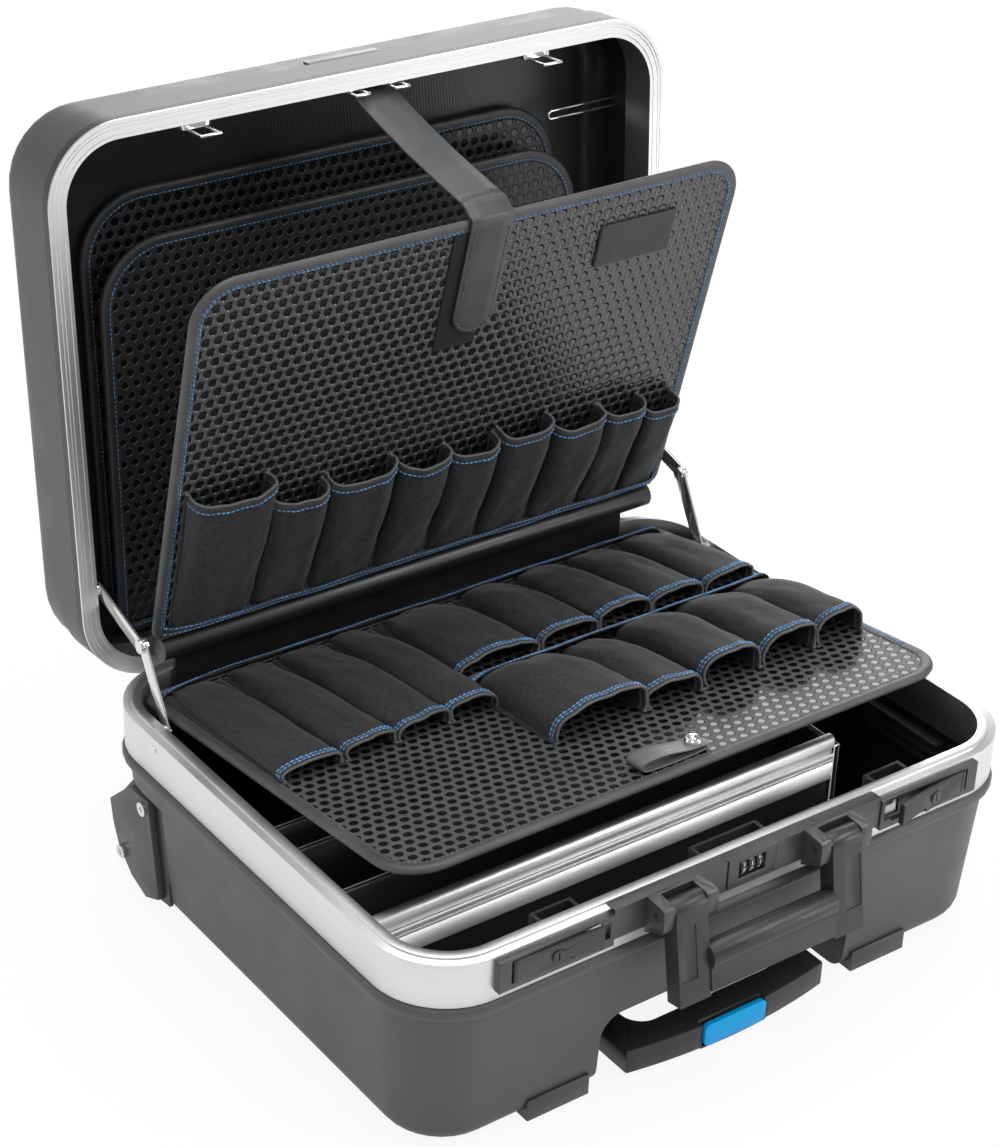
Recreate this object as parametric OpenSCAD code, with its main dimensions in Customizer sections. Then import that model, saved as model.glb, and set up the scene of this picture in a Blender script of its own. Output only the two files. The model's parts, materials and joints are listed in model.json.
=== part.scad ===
// Wheeled hard tool case with a hinged lid, tool boards, latches and a trolley.
// Millimetres. Z is up, the front with the latches faces -Y, and the lid stands open.

/* [Case] */
// Outer width of the base rim
rim_w = 490; // [460:1:540]
// Outer depth of the base rim
rim_d = 387; // [375:1:420]
// Height of the base rim above the floor
base_h = 152; // [150:1:190]
// Height of the lid above the base rim
lid_h = 76; // [75:1:110]
// Outer corner radius of the base rim
rim_r = 48; // [40:1:60]
// Wall of the moulded shells
shell_t = 3; // [2.5:0.1:3.5]
// Inward taper of the base shell from top to bottom
shell_draft = 7.5; // [5:0.5:10]
// Edge radius along the bottom of the base shell
base_edge_r = 14; // [10:1:18]
// Edge radius round the top of the lid shell
lid_edge_r = 20; // [14:1:22]
// Angle at which the lid stands open
lid_open = 93.7; // [85:0.1:100]
// Clearance between pieces that move past each other
gap = 0.3; // [0.2:0.05:0.5]

/* [Aluminium frames] */
// Height of each frame
frame_h = 33.8; // [28:0.1:36]
// How far a frame stands out past the rim
frame_out = 5.5; // [5.2:0.1:6]
// Thickness of the rim
rim_t = 7; // [6:0.5:8]
// Thickness of a frame's outer wall and web
frame_t = 3; // [2.5:0.1:3]
// Drop from the rim to the outer step of the base frame
frame_step = 1.5; // [1.2:0.1:2]
// Radius of a rivet head on the frames
rivet_r = 2.6; // [2:0.1:4]

/* [Hinges and stays] */
// Distance of the hinge axis behind the rim
hinge_out = 4; // [3.8:0.1:4.2]
// Depth of the hinge axis below the rim
hinge_drop = 9.8; // [9:0.1:11]
// Width of one hinge
hinge_w = 90; // [60:1:110]
// Distance of each hinge from the middle
hinge_x = 130; // [110:1:140]
// Outer radius of a hinge knuckle
knuckle_r = 3.5; // [3:0.1:3.6]
// Radius of a hinge pin
hinge_pin_r = 1.8; // [1.5:0.1:2]
// Length of a stay link between its pivots
stay_l = 59.5; // [50:0.5:60]
// Width of a stay link
stay_w = 11; // [8:0.5:12]
// Thickness of a stay link
stay_t = 1.5; // [1:0.1:2]
// Angle of the lower stay links from level
stay_lower_tilt = 61.3; // [55:0.1:65]
// Angle of the upper stay links from level
stay_upper_tilt = 16.1; // [12:0.1:20]

/* [Tool boards] */
// Clearance between the rim and each side of the front board
front_board_gap = 25; // [22:1:45]
// How much shorter the front board is than the base rim is deep
front_board_end = 89; // [82:1:107]
// Angle of the front board from level
front_board_tilt = 76; // [72:0.1:80]
// Clearance between the rim and each side of the boards inside the lid
rear_board_gap = 45; // [30:1:65]
// Length of the board that lies against the lid
rear_board_l1 = 306; // [280:1:310]
// Length of the board in front of it
rear_board_l2 = 296; // [260:1:300]
// Clearance between the rim and each side of the board over the base
base_board_gap = 17; // [16:1:35]
// Length of the board over the base
base_board_l = 322; // [300:1:324]
// Angle at which the base board stands raised
base_board_tilt = 7; // [5:0.1:8]
// Thickness of a tool board
board_t = 4; // [3:0.5:5]
// Thickness of the binding round a board's edge
binding_t = 5.6; // [5.4:0.1:6]
// Width of the binding round a board's edge
binding_w = 9; // [7:0.5:12]
// Corner radius of the tool boards
board_r = 32; // [25:1:40]
// Thickness of the pocket cloth
cloth_t = 1.2; // [0.8:0.1:1.5]

/* [Carry handle] */
// Distance between the outer sides of the handle's arms
handle_w = 154; // [140:1:170]
// Width of each arm
arm_w = 25; // [20:1:27]
// Length of each arm below its pivot
arm_l = 66; // [60:1:72]
// Thickness of an arm
arm_t = 13; // [12:0.5:14]
// Height of the grip bar
grip_h = 33; // [30:1:38]
// Angle at which the handle rests off the wall
handle_rest = 9.5; // [5:0.5:15]
// Radius of the handle's pivot pins
handle_pin_r = 3; // [2.5:0.1:3.5]

/* [Latches and lock] */
// Distance from the rim's side to the outer end of each latch plate
latch_inset = 47; // [46:1:55]
// Length of a latch plate
latch_l = 87; // [84:1:90]
// Height of the latch plates and the lock bar
latch_h = 23; // [22:0.5:25]
// Thickness of the latch plates
latch_t = 5; // [5:0.1:6]
// Length of a latch lever
lever_l = 63; // [58:1:66]
// Rest opening of the left lever
lever_rest_left = 4; // [0:0.5:10]
// Rest opening of the right lever
lever_rest_right = 8; // [0:0.5:10]
// Radius of a key plug
key_r = 4.5; // [4:0.1:5]
// Radius of a number dial
dial_r = 7; // [6.5:0.1:7.2]
// Spacing of the number dials
dial_pitch = 6.6; // [6.2:0.1:7]

/* [Trolley] */
// Half distance between the trolley tubes
trolley_x = 74; // [60:1:80]
// Width of the fixed outer tubes
sleeve_w = 18; // [16:0.5:20]
// Height of the fixed outer tubes
sleeve_h = 16; // [15:0.5:17]
// Wall of the trolley tubes
tube_t = 1.4; // [1.2:0.1:1.5]
// Length of the fixed outer tubes
sleeve_l = 290; // [270:1:295]
// Depth of the trolley grip bar
bar_d = 17; // [16:1:20]
// Height of the trolley grip bar
bar_h = 19; // [16:1:20]
// Half width of the finger recess above the grip
recess_w = 106; // [100:1:110]
// Height of the finger recess above the floor
recess_h = 57; // [50:1:60]
// Depth of the finger recess
recess_d = 62; // [56:1:64]
// Width of the release button
button_w = 52; // [40:1:60]

/* [Wheels] */
// Wheel radius
wheel_r = 33; // [28:1:33]
// Wheel width
wheel_w = 20; // [16:1:20]
// Axle radius
axle_r = 4; // [3:0.5:5]
// Width of a wheel well
well_w = 26; // [25:0.5:28]

/* [Inside] */
// Depth of the front divider behind the middle
divider_y = -110; // [-115:1:-105]
// Top of the dividers below the rim
divider_drop = 12.5; // [12:0.1:16]
// Height of the front divider's aluminium profile
profile_h = 35; // [30:1:45]
// Right end of the dividers
divider_end = 148; // [120:1:160]
// Thickness of a divider board
divider_t = 5; // [4:0.5:6]

/* [Hidden] */

$fn = 48;
hull_fn = 32;

// Case levels and outlines
floor_gap = 2;
rim_z = base_h;
frame_w = rim_w + 2 * frame_out;
frame_d = rim_d + 2 * frame_out;
frame_r = rim_r + frame_out;
inner_w = rim_w - 2 * rim_t;
inner_d = rim_d - 2 * rim_t;
seam = 0.2;
skin_w = rim_w + 2 * (shell_t + seam);
skin_d = rim_d + 2 * (shell_t + seam);
skin_r = rim_r + shell_t + seam;
front_y = -frame_d / 2;
hinge_y = rim_d / 2 + hinge_out;
hinge_z = rim_z - hinge_drop;

// Hinge line of the front board and of the base board
rail_r = 9;
rail_y = inner_d / 2 - 10.5;
rail_z = rim_z + 26;
base_board_z = rim_z - 9;
rail_w = inner_w - 52;
front_board_w = rim_w - 2 * front_board_gap;
front_board_l = rim_d - front_board_end;
rear_board_w = rim_w - 2 * rear_board_gap;
base_board_w = rim_w - 2 * base_board_gap;
heel_r = 12;

// Rear boards in the closed lid
rear_y1 = inner_d / 2 - 8.5;
rear_z1 = rim_z + lid_h - shell_t - 3.5;
rear_lean1 = 0.6;
rear_y2 = rim_d / 2 + seam - gap;
rear_z2 = rim_z + 50;
rear_lean2 = 2;

// Stays
stay_x = inner_w / 2 - 3;
stay_base_y = 131;
stay_base_z = rim_z - 8;
stay_lid_y = 126;
stay_lid_z = rim_z + 5;

// Feet
foot_w = 49;
foot_x = rim_w / 2 - 83;

// Handle
handle_y = front_y - 15;
handle_z = rim_z - 9;
arm_x = (handle_w - arm_w) / 2;
barrel_r = 8;
ear_t = 9;

// Latches
latch_end = rim_w / 2 - latch_inset;
plate_top = rim_z - 0.5;
latch_top = rim_z - 3.5;
latch_x = latch_end - latch_l / 2;
lever_h = 16;
lever_t = 4;
lever_z = rim_z - 14;
pivot_x = latch_end - 13;
pivot_y = front_y - latch_t + 1;
dial_w = 4.8;
dial_y = front_y + 2.5;
dial_z = rim_z - 10.5;
catch_x = latch_end - 60;

// Trolley
tube_z = 13.5;
recess_back = front_y + recess_d;
grip_fillet = 16;
bar_y = -rim_d / 2 + 0.5;
bar_bow = 450;
bar_z = 3;
mid_w = sleeve_w - 2 * tube_t - gap;
mid_h = sleeve_h - 2 * tube_t - gap;
in_w = mid_w - 2 * tube_t - gap;
in_h = mid_h - 2 * tube_t - gap;
button_travel = 3;

// Wheels
wheel_y = rim_d / 2 - 28.5;
wheel_z = wheel_r + 1.5;
well_y = rim_d / 2 - 75.5;
well_z = 90;
well_x = skin_w / 2 - shell_draft - well_w + 2;
cover_x = skin_w / 2 - 6;
cover_t = 4.8;
arch_t = 3;

// Place of the overall box's middle, so that the origin lies under it
rear_reach = hinge_y + (-(skin_d / 2 - lid_edge_r) - hinge_y) * cos(lid_open)
    + (lid_h - lid_edge_r + hinge_drop) * sin(lid_open) + lid_edge_r;
front_reach = -handle_y + (arm_t - 5.5) * cos(handle_rest) + arm_l * sin(handle_rest);
middle_y = (rear_reach - front_reach) / 2;

// ---------- shared shapes ----------

module rounded_rect(w, d, r) {
    square([w - 2 * r, d], center = true);
    square([w, d - 2 * r], center = true);
    for (x = [-1, 1], y = [-1, 1])
        translate([x * (w / 2 - r), y * (d / 2 - r)]) circle(r);
}

module slab(w, d, r, z0, z1) {
    translate([0, 0, z0]) linear_extrude(z1 - z0) rounded_rect(w, d, r);
}

module ring(w, d, r, t, z0, z1) {
    difference() {
        slab(w, d, r, z0, z1);
        slab(w - 2 * t, d - 2 * t, r - t, z0 - 1, z1 + 1);
    }
}

module block(x0, x1, y0, y1, z0, z1) {
    translate([x0, y0, z0]) cube([x1 - x0, y1 - y0, z1 - z0]);
}

module rod_x(r, x0, x1, y, z) {
    translate([x0, y, z]) rotate([0, 90, 0]) cylinder(r = r, h = x1 - x0);
}

module rod_y(r, y0, y1, x, z) {
    translate([x, y1, z]) rotate([90, 0, 0]) cylinder(r = r, h = y1 - y0);
}

// Thin discs at the four corners of an outline, for a hull
module corner_discs(w, d, r, z) {
    for (x = [-1, 1], y = [-1, 1])
        translate([x * (w / 2 - r), y * (d / 2 - r), z]) cylinder(r = r, h = 0.5, $fn = hull_fn);
}

// Rings of round section at the four corners of an outline, for a hull
module corner_rings(w, d, r, edge, z) {
    for (x = [-1, 1], y = [-1, 1])
        translate([x * (w / 2 - r), y * (d / 2 - r), z])
            rotate_extrude($fn = hull_fn) translate([r - edge, 0]) circle(edge, $fn = hull_fn);
}

module place() {
    translate([0, -middle_y, 0]) children();
}

// Turns what is drawn closed to the lid's open place
module open_lid() {
    place() translate([0, hinge_y, hinge_z]) rotate([-lid_open, 0, 0])
        translate([0, -hinge_y, -hinge_z]) children();
}

module both_sides() {
    children();
    mirror([1, 0, 0]) children();
}

// ---------- base ----------

module base_body() {
    low_w = skin_w - 2 * shell_draft;
    low_d = skin_d - 2 * shell_draft;
    bead = 2.2;
    hull() {
        corner_discs(skin_w, skin_d, skin_r, rim_z - frame_h - 0.7);
        corner_rings(low_w, low_d, skin_r - shell_draft, base_edge_r, floor_gap + base_edge_r);
    }
    hull() corner_rings(frame_w + 2 * bead, frame_d + 2 * bead, frame_r + bead, 6,
        rim_z - frame_h - seam - 6);
    ring(skin_w - 2 * (shell_t + seam - 2.2), skin_d - 2 * (shell_t + seam - 2.2),
        skin_r - (shell_t + seam - 2.2), 2, rim_z - frame_h - 2, rim_z - frame_h + 12);
}

module base_cavity() {
    low_w = skin_w - 2 * shell_draft - 2 * shell_t;
    low_d = skin_d - 2 * shell_draft - 2 * shell_t;
    edge = base_edge_r - shell_t;
    hull() {
        corner_discs(rim_w + 2 * seam, rim_d + 2 * seam, rim_r + seam, rim_z - frame_h - 0.5);
        corner_rings(low_w, low_d, skin_r - shell_draft - shell_t, edge,
            floor_gap + base_edge_r);
    }
    slab(rim_w + 2 * seam, rim_d + 2 * seam, rim_r + seam, rim_z - frame_h - 0.3, rim_z);
}

// Space for the trolley under the floor, grown by a wall where that is asked for
module trolley_space(grow) {
    top = tube_z + sleeve_h / 2 + 2;
    side = trolley_x + sleeve_w / 2 + 8;
    corner = 16;
    block(-side - grow, side + grow, front_y - 5, recess_back + 13 + sleeve_l + grow, -1, top + grow);
    translate([0, recess_back + grow, 0]) rotate([90, 0, 0])
        linear_extrude(60 + grow) {
            translate([-recess_w - grow, -1])
                square([2 * (recess_w + grow), recess_h - corner + 1]);
            translate([-recess_w + corner, 0])
                square([2 * (recess_w - corner), recess_h + grow]);
            for (x = [-1, 1]) translate([x * (recess_w - corner), recess_h - corner])
                circle(corner + grow);
        }
}

module wheel_wells(grow) {
    both_sides() block(well_x - grow, skin_w, well_y - grow, skin_d, -1, well_z + grow);
}

module base_shell() {
    color([0.33, 0.33, 0.34]) place() difference() {
        base_body();
        difference() {
            base_cavity();
            trolley_space(shell_t);
            wheel_wells(shell_t);
        }
        trolley_space(0);
        wheel_wells(0);
    }
}

module hinge_notches() {
    both_sides() block(hinge_x - hinge_w / 2 - 0.5, hinge_x + hinge_w / 2 + 0.5,
        rim_d / 2 + 0.2, skin_d, hinge_z - 6.5, rim_z + 1);
}

module base_frame() {
    web = frame_step + frame_t;
    color([0.80, 0.81, 0.82]) place() difference() {
        union() {
            ring(frame_w, frame_d, frame_r, frame_t, rim_z - frame_h, rim_z - frame_step);
            ring(frame_w, frame_d, frame_r, frame_out + rim_t, rim_z - web, rim_z - frame_step);
            ring(rim_w, rim_d, rim_r, rim_t, rim_z - frame_h, rim_z);
        }
        hinge_notches();
        block(-16, 16, front_y - 1, dial_y + dial_r + 0.6, dial_z - dial_r - 0.6, rim_z - 2.6);
        both_sides() block(catch_x - 9, catch_x + 9, front_y - 1, -inner_d / 2 + 1,
            rim_z - 22, rim_z - 9);
    }
}

module base_feet() {
    color([0.10, 0.10, 0.10]) place() difference() {
        both_sides() for (y = [-1, 1]) scale([1, y, 1])
            block(foot_x - foot_w, foot_x, rim_d / 2 - 34, rim_d / 2 - 2, 0, 16);
        base_body();
    }
}

// Side outline of a wheel cover, as depth and height
cover_outline = [[rim_d / 2 - 57.5, 88], [rim_d / 2 - 30.5, 85], [rim_d / 2 - 2.5, 60],
    [rim_d / 2 - 5.5, 43], [rim_d / 2 - 12.5, 26], [rim_d / 2 - 29.5, 10],
    [rim_d / 2 - 49.5, 3], [rim_d / 2 - 67.5, 11]];
bolt_places = [[rim_d / 2 - 51.5, 79], [rim_d / 2 - 18.5, 24]];

// Extrudes a depth and height outline across the width
module side_plate(x0, x1) {
    translate([x0, 0, 0]) rotate([90, 0, 90]) linear_extrude(x1 - x0) children();
}

module wheel_cover() {
    difference() {
        side_plate(cover_x, cover_x + cover_t) polygon(cover_outline);
        for (p = bolt_places) rod_x(2.7, cover_x - 1, cover_x + cover_t + 1, p[0], p[1]);
    }
}

module wheel_cover_left() {
    color([0.36, 0.36, 0.37]) place() mirror([1, 0, 0]) wheel_cover();
}

module wheel_cover_right() {
    color([0.36, 0.36, 0.37]) place() wheel_cover();
}

module wheel_arches() {
    back = rim_d / 2 - 6;
    color([0.05, 0.05, 0.05]) place() both_sides() difference() {
        side_plate(cover_x - arch_t, cover_x) polygon([[well_y + gap, well_z - gap],
            [rim_d / 2 - 30, well_z - gap], [back, 62], [back - 12, 27], [rim_d / 2 - 34, 10],
            [rim_d / 2 - 52, 5], [well_y + gap, 8]]);
        rod_x(axle_r + 0.1, cover_x - arch_t - 1, cover_x + 1, wheel_y, wheel_z);
        for (p = bolt_places) rod_x(2.7, cover_x - arch_t + 1, cover_x + 1, p[0], p[1]);
    }
}

module wheel_axles() {
    color([0.62, 0.63, 0.65]) place() both_sides()
        rod_x(axle_r, well_x, cover_x, wheel_y, wheel_z);
}

module cover_bolts() {
    face = cover_x + cover_t;
    color([0.72, 0.73, 0.74]) place() both_sides() for (p = bolt_places) difference() {
        union() {
            rod_x(2.6, cover_x - arch_t + 1.5, face + 1, p[0], p[1]);
            rod_x(5.2, face, face + 2.6, p[0], p[1]);
        }
        rod_x(2.2, face + 1, face + 4, p[0], p[1]);
    }
}

// ---------- lock bar, latches and lock ----------

// Lip of a front plate that hooks over the frame's step
module plate_lip(x0, x1) {
    block(x0, x1, front_y - 1, -rim_d / 2 - seam, rim_z - frame_step, plate_top);
}

module lock_bar() {
    edge = latch_end - latch_l - 0.5;
    color([0.09, 0.09, 0.09]) place() difference() {
        union() {
            block(-edge, edge, front_y - latch_t + 1, front_y, plate_top - latch_h, plate_top);
            plate_lip(-edge, edge);
        }
        block(-20.5, 20.5, front_y - latch_t - 1, front_y + 9, dial_z - 11.5, rim_z + 1);
    }
}

module latch_plate() {
    difference() {
        block(latch_end - latch_l, latch_end, front_y - latch_t, front_y,
            latch_top - latch_h, latch_top);
        block(pivot_x - lever_l - 1.5, pivot_x + 4, front_y - latch_t - 1, front_y - 1.2,
            lever_z - lever_h / 2 - 0.4, lever_z + lever_h / 2 + 0.4);
        block(pivot_x - lever_l - 8, pivot_x - lever_l + 8, front_y - latch_t - 1, front_y + 1,
            lever_z - 6, lever_z + 6);
    }
    translate([pivot_x, pivot_y, lever_z - lever_h / 2 - 1]) cylinder(r = 1.2, h = lever_h + 2);
}

module latch_plates() {
    color([0.10, 0.10, 0.10]) place() both_sides() latch_plate();
}

module lock_housing() {
    face = front_y - latch_t + 0.2;
    color([0.08, 0.08, 0.08]) place() {
        difference() {
            block(-20, 20, face, front_y, dial_z - 11, plate_top);
            block(-11, 11, face - 1, front_y + 1, dial_z - 6.4, dial_z + 6.4);
            block(-11, 11, front_y - 3.2, front_y + 1, dial_z - dial_r - 0.4, dial_z + dial_r + 0.4);
        }
        plate_lip(-20, 20);
        for (x = [-1, 1]) translate([x * 12.5, 0, 0])
            block(-1.5, 1.5, front_y - 0.1, dial_y + 4, dial_z - 4, dial_z + 4);
        rod_x(1.5, -12.5, 12.5, dial_y, dial_z);
    }
}

module dial(i) {
    x = (i - 1) * dial_pitch;
    color([0.06, 0.06, 0.06]) place() difference() {
        rod_x(dial_r, x - dial_w / 2, x + dial_w / 2, dial_y, dial_z);
        rod_x(1.56, x - dial_w, x + dial_w, dial_y, dial_z);
        for (a = [0:36:324]) translate([x, dial_y, dial_z]) rotate([a, 0, 0])
            block(-dial_w / 2 - 1, dial_w / 2 + 1, -0.5, 0.5, dial_r - 0.5, dial_r + 1);
    }
}

module dial_1() dial(0);
module dial_2() dial(1);
module dial_3() dial(2);

// Boxes behind the front frame that take the lid's catches
module catch_box(x, w, wall) {
    back = -inner_d / 2;
    difference() {
        block(x - w / 2, x + w / 2, back, back + 14, rim_z - 28, rim_z - 4);
        block(x - w / 2 + 3, x + w / 2 - 3, back + wall, back + 12, rim_z - 25, rim_z);
    }
}

module catch_boxes() {
    color([0.07, 0.07, 0.07]) place() {
        both_sides() catch_box(catch_x, 32, 1.5);
        catch_box(0, 56, -1);
    }
}

// Puts a lever drawn closed at its rest opening, side -1 for the left one
module lever_pose(side, angle) {
    translate([side * pivot_x, pivot_y, 0]) rotate([0, 0, side * angle]) scale([side, 1, 1])
        children();
}

module lever() {
    y0 = front_y - 1.4 - pivot_y - lever_t;
    difference() {
        union() {
            translate([0, 0, lever_z - lever_h / 2]) cylinder(r = 2.3, h = lever_h);
            block(-lever_l, 0, y0, y0 + lever_t, lever_z - lever_h / 2, lever_z + lever_h / 2);
        }
        translate([0, 0, lever_z - lever_h]) cylinder(r = 1.26, h = 2 * lever_h);
        rod_y(key_r + 0.06, y0 - 1, y0 + lever_t + 1, -lever_l / 2 + 2, lever_z);
        translate([-lever_l - 1, y0 - 1, lever_z - lever_h / 2 - 4]) rotate([0, -8, 0])
            cube([26, lever_t + 2, 4]);
    }
}

module latch_lever_left() {
    color([0.14, 0.14, 0.14]) place() lever_pose(-1, lever_rest_left) lever();
}

module latch_lever_right() {
    color([0.14, 0.14, 0.14]) place() lever_pose(1, lever_rest_right) lever();
}

module key_plug() {
    y0 = front_y - 1.4 - pivot_y - lever_t;
    difference() {
        rod_y(key_r, y0 - 0.8, y0 + lever_t - 0.2, -lever_l / 2 + 2, lever_z);
        block(-lever_l / 2 + 1.5, -lever_l / 2 + 2.5, y0 - 1, y0 + 1.5, lever_z - 3, lever_z + 3);
    }
}

module key_plug_left() {
    color([0.20, 0.20, 0.20]) place() lever_pose(-1, lever_rest_left) key_plug();
}

module key_plug_right() {
    color([0.20, 0.20, 0.20]) place() lever_pose(1, lever_rest_right) key_plug();
}

// ---------- carry handle ----------

// Ears joined by a plate behind the arm, with flat tops and sloping undersides
module handle_brackets() {
    back = front_y - latch_t + 1;
    nose = handle_y - 7;
    low = handle_z - 18;
    top = handle_z + 8;
    color([0.10, 0.10, 0.10]) place() both_sides() difference() {
        union() {
            for (s = [-1, 1]) translate([arm_x + s * (arm_w + ear_t + 2 * gap) / 2, 0, 0])
                side_plate(-ear_t / 2, ear_t / 2) polygon([[back, low], [nose + 5, top - 19.5],
                    [nose + 1.5, top - 18.5], [nose, top - 16], [nose, top - 2],
                    [nose + 2, top], [back, top + 1]]);
            block(arm_x - arm_w / 2 - 2, arm_x + arm_w / 2 + 2, back - 2.6, back, low, top + 1);
        }
        rod_x(handle_pin_r + 0.06, arm_x - arm_w, arm_x + arm_w, handle_y, handle_z);
    }
}

module handle_pose() {
    place() translate([0, handle_y, handle_z]) rotate([-handle_rest, 0, 0]) children();
}

module handle_arms() {
    color([0.15, 0.15, 0.15]) handle_pose() both_sides() difference() {
        union() {
            rod_x(barrel_r, arm_x - arm_w / 2, arm_x + arm_w / 2, 0, 0);
            block(arm_x - arm_w / 2, arm_x + arm_w / 2, 5.5 - arm_t, 5.5, -arm_l, -1);
            rod_x(handle_pin_r, arm_x - arm_w / 2 - ear_t, arm_x + arm_w / 2 + ear_t, 0, 0);
        }
        block(arm_x - arm_w / 2 + 10, arm_x + arm_w / 2 - 1.5, 3.3 - arm_t, 6.3 - arm_t,
            -arm_l + 17, -11);
    }
}

module handle_grip() {
    half = arm_x - arm_w / 2;
    low = -arm_l + 3;
    nose = 9;
    color([0.13, 0.13, 0.13]) handle_pose() translate([-half, 0, 0]) rotate([90, 0, 90])
        linear_extrude(2 * half) {
            translate([5.5 - nose, low + grip_h - nose]) circle(nose);
            translate([5.5 - 2 * nose + 4, low]) square([2 * nose - 4, grip_h - nose]);
        }
}

// ---------- rivets ----------

module frame_rivets() {
    rivet_y = rim_d / 2 - 76;
    color([0.75, 0.76, 0.77]) place() both_sides()
        rod_x(rivet_r, frame_w / 2, frame_w / 2 + 0.8, rivet_y, rim_z - 10);
}

// ---------- trolley ----------

module tube(w, h, t, y0, y1) {
    both_sides() difference() {
        block(trolley_x - w / 2, trolley_x + w / 2, y0, y1, tube_z - h / 2, tube_z + h / 2);
        block(trolley_x - w / 2 + t, trolley_x + w / 2 - t, y0 - 1, y1 + 1,
            tube_z - h / 2 + t, tube_z + h / 2 - t);
    }
}

module trolley_sleeves() {
    color([0.70, 0.71, 0.72]) place()
        tube(sleeve_w, sleeve_h, tube_t, recess_back + 6, recess_back + 6 + sleeve_l);
}

module trolley_cover() {
    side = trolley_x + sleeve_w / 2 + 7.5;
    y0 = recess_back + 3;
    y1 = recess_back + 9 + sleeve_l;
    color([0.10, 0.10, 0.10]) place() {
        block(-side, side, y0, y1, floor_gap, floor_gap + 2.4);
        both_sides() block(trolley_x - 6, trolley_x + 6, y0 + 8, y1 - 8, floor_gap + 2,
            tube_z - sleeve_h / 2);
        both_sides() for (y = [y0 + 40, y1 - 52])
            block(trolley_x - 20, trolley_x - sleeve_w / 2, y, y + 12, floor_gap + 2,
                tube_z + sleeve_h / 2 + 2);
    }
}

module trolley_mid_tubes() {
    color([0.74, 0.75, 0.76]) place()
        tube(mid_w, mid_h, tube_t, recess_back + 5, recess_back + 1 + sleeve_l);
}

module trolley_inner_tubes() {
    color([0.78, 0.79, 0.80]) place()
        tube(in_w, in_h, tube_t, bar_y + bar_d + 22, recess_back + sleeve_l - 6);
}

// Bar with a bowed front and two arms, filleted where they meet
module trolley_grip() {
    side = trolley_x + 10;
    inner = trolley_x - 10;
    rear = bar_y + bar_d;
    arm_end = recess_back + 3;
    color([0.13, 0.13, 0.13]) place() difference() {
        union() {
            block(-side, side, bar_y, rear, bar_z, bar_z + bar_h);
            both_sides() block(inner, side, bar_y, arm_end, bar_z, bar_z + bar_h);
            both_sides() difference() {
                block(inner - grip_fillet, inner + 1, rear - 1, rear + grip_fillet,
                    bar_z, bar_z + bar_h);
                translate([inner - grip_fillet, rear + grip_fillet, bar_z - 1])
                    cylinder(r = grip_fillet, h = bar_h + 2);
            }
            intersection() {
                translate([0, bar_y + bar_bow - 8, bar_z])
                    cylinder(r = bar_bow, h = bar_h, $fn = 240);
                block(-side, side, bar_y - 9, bar_y + 1, bar_z, bar_z + bar_h);
            }
        }
        tube_bore();
        block(-button_w / 2 - gap, button_w / 2 + gap, bar_y - 10, bar_y - 2.2,
            bar_z + 1.5, bar_z + bar_h + 1);
        block(-button_w / 2 + 3 - gap, button_w / 2 - 3 + gap, bar_y - 3, bar_y + 2.8,
            bar_z + 4 - gap, bar_z + 14 + gap);
    }
}

// Sockets in the grip's arms for the inner tubes
module tube_bore() {
    both_sides() block(trolley_x - in_w / 2, trolley_x + in_w / 2, bar_y + bar_d + 22,
        recess_back + 10, tube_z - in_h / 2, tube_z + in_h / 2);
}

module trolley_button() {
    h = bar_h - 1.8;
    color([0.04, 0.55, 0.75]) place() {
        translate([0, bar_y - 5.5, bar_z + 1.8 + h / 2]) rotate([90, 0, 0])
            linear_extrude(3.5) rounded_rect(button_w, h, 4);
        block(-button_w / 2 + 3, button_w / 2 - 3, bar_y - 6, bar_y - 0.5, bar_z + 4, bar_z + 14);
    }
}

// ---------- wheels ----------

module wheel() {
    x0 = well_x + 1.2;
    difference() {
        union() {
            rod_x(wheel_r, x0 + 2, x0 + wheel_w - 2, wheel_y, wheel_z);
            rod_x(wheel_r - 3, x0, x0 + wheel_w, wheel_y, wheel_z);
        }
        rod_x(axle_r + 0.06, x0 - 1, x0 + wheel_w + 1, wheel_y, wheel_z);
        for (x = [x0 - 1, x0 + wheel_w - 2.5]) difference() {
            rod_x(wheel_r - 9, x, x + 3.5, wheel_y, wheel_z);
            rod_x(axle_r + 5, x - 1, x + 5, wheel_y, wheel_z);
        }
    }
}

module wheel_left() {
    color([0.08, 0.08, 0.08]) place() mirror([1, 0, 0]) wheel();
}

module wheel_right() {
    color([0.08, 0.08, 0.08]) place() wheel();
}

// ---------- inside ----------

module divider_front() {
    top = rim_z - divider_drop;
    x0 = -inner_w / 2 + 6;
    color([0.83, 0.84, 0.85]) place() translate([x0, divider_y, top]) rotate([90, 0, 90])
        linear_extrude(divider_end - x0) difference() {
            union() {
                translate([-4, -4]) circle(4);
                translate([-8, -profile_h]) square([8, profile_h - 4]);
            }
            translate([-9, -14]) square([2.5, 5]);
            translate([-9, -18.5]) square([1.8, 1]);
            translate([-9, -21]) square([1.8, 1]);
            translate([-6, -profile_h - 1]) square([divider_t + gap, 9]);
        }
}

module divider_board_front() {
    top = rim_z - divider_drop - profile_h + 7.5;
    y0 = divider_y - 6 + gap / 2;
    color([0.06, 0.06, 0.06]) place()
        block(-inner_w / 2 + 6, divider_end, y0, y0 + divider_t, recess_h + shell_t + 1, top);
}

module divider_plate(y, x0, x1) {
    top = rim_z - divider_drop - 8;
    low = tube_z + sleeve_h / 2 + 2 + shell_t + gap;
    difference() {
        block(x0, x1, y, y + divider_t, low, top);
        block(x0 - 1, x1 + 1, y + 1, y + divider_t - 1, top - 3, top + 1);
    }
}

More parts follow.
